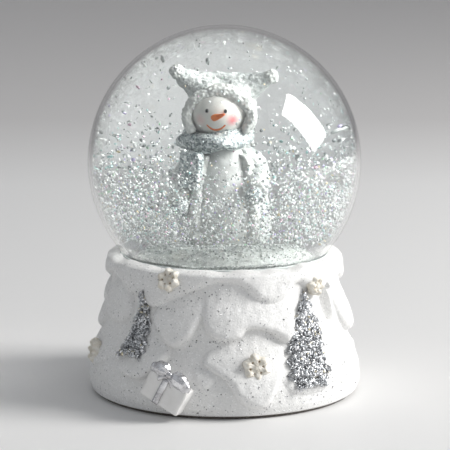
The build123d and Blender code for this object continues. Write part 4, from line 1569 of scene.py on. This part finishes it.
        shells = [
            ball(palm, (size, size, size * 1.12), 18, 24),
            ball(thumb, (size / 2, size / 2, size * 0.7), 12, 16),
        ]
        mitten = "mitten_" + side
        plush_piece(mitten + "_knit", shells, 0.7, 0.2, scarf_paint, [mitten], 9.0)

    make_face(middle)
    make_hat(middle, plush, coat_paint)


def on_face(middle, x, z, outward=0.0):
    """A point on the head's egg at x and z, and the direction out of it."""
    wide, _, tall = HEAD_RADII * figure_height
    dx, dz = x - middle[0], z - middle[2]
    y = -wide * math.sqrt(max(1 - (dx / wide) ** 2 - (dz / tall) ** 2, 0.01))
    out = np.array([dx / wide**2, y / wide**2, dz / tall**2])
    out /= np.linalg.norm(out)
    return np.array([x, middle[1] + y, z]) + out * outward, out


def make_face(middle):
    """Two round eyes, a carrot nose that points up a little, and a painted smile."""
    centre_x, centre_z = -0.046 * figure_height, middle[2]
    black = new_material("eye_paint", color=(0.012, 0.012, 0.014), roughness=0.15, coat=0.6)
    tone = ramp(black, grain(black, 900.0), [(0.3, (0.008, 0.008, 0.01)), (0.7, (0.03, 0.03, 0.03))])
    join(black, tone, "Color", shader_of(black), "Base Color")
    points, faces, count = [], [], 0
    for across in (-0.051, 0.051):
        place, out = on_face(middle, centre_x + across * figure_height, centre_z + 0.025 * figure_height)
        more, loops = ball((0, 0, 0), (0.34, 0.34, 0.40), 16, 24)
        points.append(more + place)
        faces += [[v + count for v in face] for face in loops]
        count += len(more)
    piece_from("eye_dots", np.concatenate(points), faces, replaces=["eyes"], material=black)

    orange = new_material("nose_paint", color=(0.86, 0.22, 0.03), roughness=0.4)
    tone = ramp(orange, grain(orange, 700.0), [(0.3, (0.70, 0.12, 0.015)), (0.7, (0.93, 0.30, 0.05))])
    join(orange, tone, "Color", shader_of(orange), "Base Color")
    bump_from(orange, grain(orange, 1200.0), 0.06)
    root, out = on_face(middle, centre_x - 0.35, centre_z - 0.012 * figure_height, -0.35)
    aim = out + np.array([1.05, 0, 0.50])
    aim /= np.linalg.norm(aim)
    path = smooth_line([root, root + aim * 1.2, root + aim * 2.5 + np.array([0.12, 0, 0.2])], 16)
    points, faces = tube(path, np.linspace(0.75, 0.24, 16), 22)
    points = rough(points, 0.6, 0.08, 3.0)
    piece_from("nose", points, faces, replaces=["carrot_nose"], material=orange)

    brown = new_material("smile_paint", color=(0.56, 0.13, 0.03), roughness=0.45)
    tone = ramp(brown, grain(brown, 900.0), [(0.3, (0.42, 0.08, 0.02)), (0.7, (0.70, 0.22, 0.05))])
    join(brown, tone, "Color", shader_of(brown), "Base Color")
    line = []
    for share in np.linspace(-1, 1, 24):
        x = centre_x + share * 0.048 * figure_height
        z = centre_z + (-0.084 + 0.027 * share**2) * figure_height
        line.append(on_face(middle, x, z, 0.02)[0])
    points, faces = tube(line, 0.14 + 0.08 * np.cos(np.linspace(-1.5, 1.5, 24)), 14)
    piece_from("smile", points, faces, replaces=["mouth"], material=brown)


def make_hat(middle, plush, coat_paint):
    """A plush cap drawn out to two corners, with a rolled brim and two bobbles."""
    f = figure_height
    corners = {"left": fig(-0.264, 0.0, 0.940), "right": fig(0.252, 0.0, 0.912)}
    crown = [ball(fig(-0.014, 0.035, 0.735), (0.182 * f, 0.150 * f, 0.160 * f), 40, 60)]
    crown.append(ball(fig(-0.095, 0.035, 0.835), (0.110 * f, 0.11 * f, 0.070 * f), 26, 36))
    crown.append(ball(fig(0.070, 0.035, 0.830), (0.115 * f, 0.11 * f, 0.072 * f), 26, 36))
    crown.append(ball(fig(-0.110, 0.040, 0.680), (0.078 * f, 0.10 * f, 0.080 * f), 26, 36))
    crown.append(ball(fig(0.088, 0.040, 0.680), (0.078 * f, 0.10 * f, 0.080 * f), 26, 36))
    bar = smooth_line([fig(-0.22, 0.02, 0.885), fig(-0.01, 0.03, 0.880), fig(0.20, 0.02, 0.872)], 20)
    crown.append(tube(bar, np.full(20, 0.042 * f), 20))
    for side, start in (("left", fig(-0.135, 0.030, 0.845)), ("right", fig(0.120, 0.030, 0.835))):
        reach = smooth_line([start, (start + corners[side]) / 2, corners[side]], 14)
        crown.append(tube(reach, np.linspace(0.080, 0.030, 14) * f, 22))
    points, faces = fused("crown", crown, 0.2, 3)
    points = curls(points, mesh_normals(points, faces), 0.8, 0.28, 6.0)
    wide, _, tall = HEAD_RADII * f + 0.05
    local = points - middle
    inside = (local[:, 0] / wide) ** 2 + (local[:, 1] / wide) ** 2 + (local[:, 2] / tall) ** 2
    sunk = (inside < 1) & (local[:, 1] < 0)
    points[sunk, 1] = np.maximum(points[sunk, 1], middle[1] - 0.02 * f)
    piece_from("hat_cap", points, faces, replaces=["hat"], material=coat_paint)
    angle = np.radians(np.linspace(-30, 210, 60))
    brim = []
    for a in angle:
        x = middle[0] + 0.002 * f + 0.173 * f * math.cos(a)
        z = middle[2] - 0.02 * f + 0.142 * f * math.sin(a)
        brim.append((x, middle[1] - 0.085 * f, z))
    swell = 0.85 + 0.55 * np.exp(-(((np.degrees(angle) - 60) / 50) ** 2))
    roll = [tube(brim, 0.034 * f * swell, 18)]
    plush_piece("brim_roll", roll, 0.62, 0.36, plush, ["hat_brim"], 4.0)
    for side, place in corners.items():
        size = 0.040 * f
        plush_piece(
            "bobble_" + side + "_plush",
            [ball(place, (size, size, size), 26, 34)],
            0.6,
            0.5,
            plush,
            ["bobble_" + side],
            5.0,
        )


# ---------------------------------------------------------------- flakes in the globe
PEARL_TINTS = [
    (0.0, (0.80, 0.86, 0.88)),
    (0.30, (0.92, 0.86, 0.95)),
    (0.50, (0.60, 0.88, 0.86)),
    (0.66, (0.93, 0.66, 0.80)),
    (0.78, (0.70, 0.62, 0.92)),
    (0.88, (0.93, 0.80, 0.52)),
    (0.95, (0.60, 0.90, 0.66)),
]
SILVER_TINTS = [
    (0.0, (0.40, 0.43, 0.43)),
    (0.2, (0.62, 0.65, 0.65)),
    (0.45, (0.80, 0.83, 0.82)),
    (0.8, (0.98, 1.0, 0.99)),
]


def swirling_places(count, chooser, keep):
    """Random places in the liquid, beside or over the space the snowman stands in."""
    swept_radius, swept_top = 12.6, 74.4
    reach = liquid_radius - 0.55
    places = np.zeros((0, 3))
    while len(places) < count:
        p = chooser.uniform(-reach, reach, (4 * count, 3))
        inside = np.linalg.norm(p, axis=1) < reach
        p = p[inside] + np.array([0, 0, globe_centre])
        beside = np.hypot(p[:, 0], p[:, 1]) > swept_radius
        over = p[:, 2] > swept_top
        gutter = p[:, 2] > figure_floor + 0.6
        p = p[(beside | over) & gutter]
        p = p[chooser.random(len(p)) < keep(p)]
        places = np.vstack([places, p])
    return places[:count]


def make_flakes():
    silver = metal_flakes("silver_film", (0.88, 0.89, 0.91), SILVER_TINTS, 0.35, 0.3, 0.3)
    pearl = metal_flakes("pearl_film", (0.85, 0.85, 0.90), PEARL_TINTS, 0.3, 0.5, 0.5)

    def lower_heavy(p):
        share = np.clip((p[:, 2] - 42) / 40, 0, 1)
        return 0.03 + 0.97 * np.clip(1 - (share - 0.12) / 0.32, 0, 1) ** 1.2

    for name, slot_name, material, count, seed, low, high in (
        ("silver_flakes", "flake_silver", silver, 8500, 51, 0.28, 0.80),
        ("pearl_flakes", "flake_pearl", pearl, 3000, 52, 0.26, 0.62),
    ):
        chooser = np.random.default_rng(seed)
        centres = swirling_places(count, chooser, lower_heavy)
        facing = chooser.standard_normal((count, 3))
        sizes = chooser.uniform(low, high, count)
        points, faces = flake_mesh(centres, facing, sizes, 0.03, 5, chooser)
        piece_from(
            name + "_adrift", points, faces, "swirl", replaces=[name], material=material
        )
    make_settled(silver)


def make_settled(silver):
    """Glitter that has sunk: a bed in the gutter by the glass, and flakes on the mound."""
    columns = 180
    turn = np.arange(columns) / columns * TAU
    azimuth = np.degrees(turn)
    inner = np.full(columns, ground_edge - 0.9)
    level = plug_top + 3.4 + 0.25 * waves(azimuth, 0 * azimuth, 33, 18)
    reach = np.sqrt((liquid_radius - 0.35) ** 2 - (level - globe_centre) ** 2)
    deep = np.full(columns, plug_top + 0.8)
    deep_reach = np.sqrt((liquid_radius - 0.35) ** 2 - (deep - globe_centre) ** 2)
    rings = [(inner - 0.8, deep)]
    top_inner = np.minimum(ground_height(inner - 1.2, azimuth) + 0.2, level + 0.6)
    rings.append((inner - 1.2, top_inner))
    for share in np.linspace(0.15, 1, 10):
        radius = inner - 1.2 + share * (reach - inner + 1.2)
        rings.append(
            (radius, top_inner + (level - top_inner) * share + 0.12 * waves(azimuth, radius, 34, 60))
        )
    for share in np.linspace(0.1, 1, 8):
        z = level + (deep - level) * share
        rings.append((np.sqrt((liquid_radius - 0.35) ** 2 - (z - globe_centre) ** 2), z))
    rings.append(((inner + deep_reach) / 2, deep))
    points = np.array([np.stack([r * np.sin(turn), -r * np.cos(turn), z], axis=-1) for r, z in rings])
    faces = grid_faces(len(rings), columns, True, True)
    bed = new_material("glitter_bed", color=(0.6, 0.62, 0.63), roughness=0.4, metallic=0.3)
    cells = node(bed, "ShaderNodeTexVoronoi", Scale=2400.0)
    where = node(bed, "ShaderNodeTexCoord")
    join(bed, where, "Object", cells, "Vector")
    pick = node(bed, "ShaderNodeSeparateColor")
    join(bed, cells, "Color", pick, "Color")
    tone = ramp(bed, pick, [(0.0, (0.30, 0.33, 0.33)), (0.4, (0.62, 0.66, 0.65)), (0.9, (0.92, 0.94, 0.93))])
    join(bed, tone, "Color", shader_of(bed), "Base Color")
    bump_from(bed, cells, 0.25)
    piece_from("sunken_glitter_bed", points.reshape(-1, 3), faces, material=bed)
    chooser = np.random.default_rng(55)
    count = 5200
    radius = np.sqrt(chooser.uniform(7.4**2, 24.2**2, count))
    a = chooser.uniform(-180, 180, count)
    on_mound = ground_height(radius, a) + 0.12
    in_gutter = plug_top + 3.55 + 0.25 * waves(a, 0 * a, 33, 18)
    z = np.where(radius < ground_edge - 1.6, np.maximum(on_mound, in_gutter - 1.2), in_gutter)
    z = z + chooser.uniform(0, 0.25, count)
    centres = np.stack([radius * np.sin(np.radians(a)), -radius * np.cos(np.radians(a)), z], axis=-1)
    fits = np.linalg.norm(centres - np.array([0, 0, globe_centre]), axis=1) < liquid_radius - 0.5
    centres = centres[fits]
    facing = np.array([0, 0, 1.0]) + 0.6 * chooser.standard_normal((len(centres), 3))
    sizes = chooser.uniform(0.28, 0.6, len(centres))
    points, faces = flake_mesh(centres, facing, sizes, 0.04, 6, chooser)
    piece_from(
        "sunken_flakes", points, faces, replaces=["settled_glitter"], material=silver
    )


scatter_specks()
make_trees()
make_bosses()
make_gift()
make_small_parts()
make_ground()
make_snowman()
make_flakes()
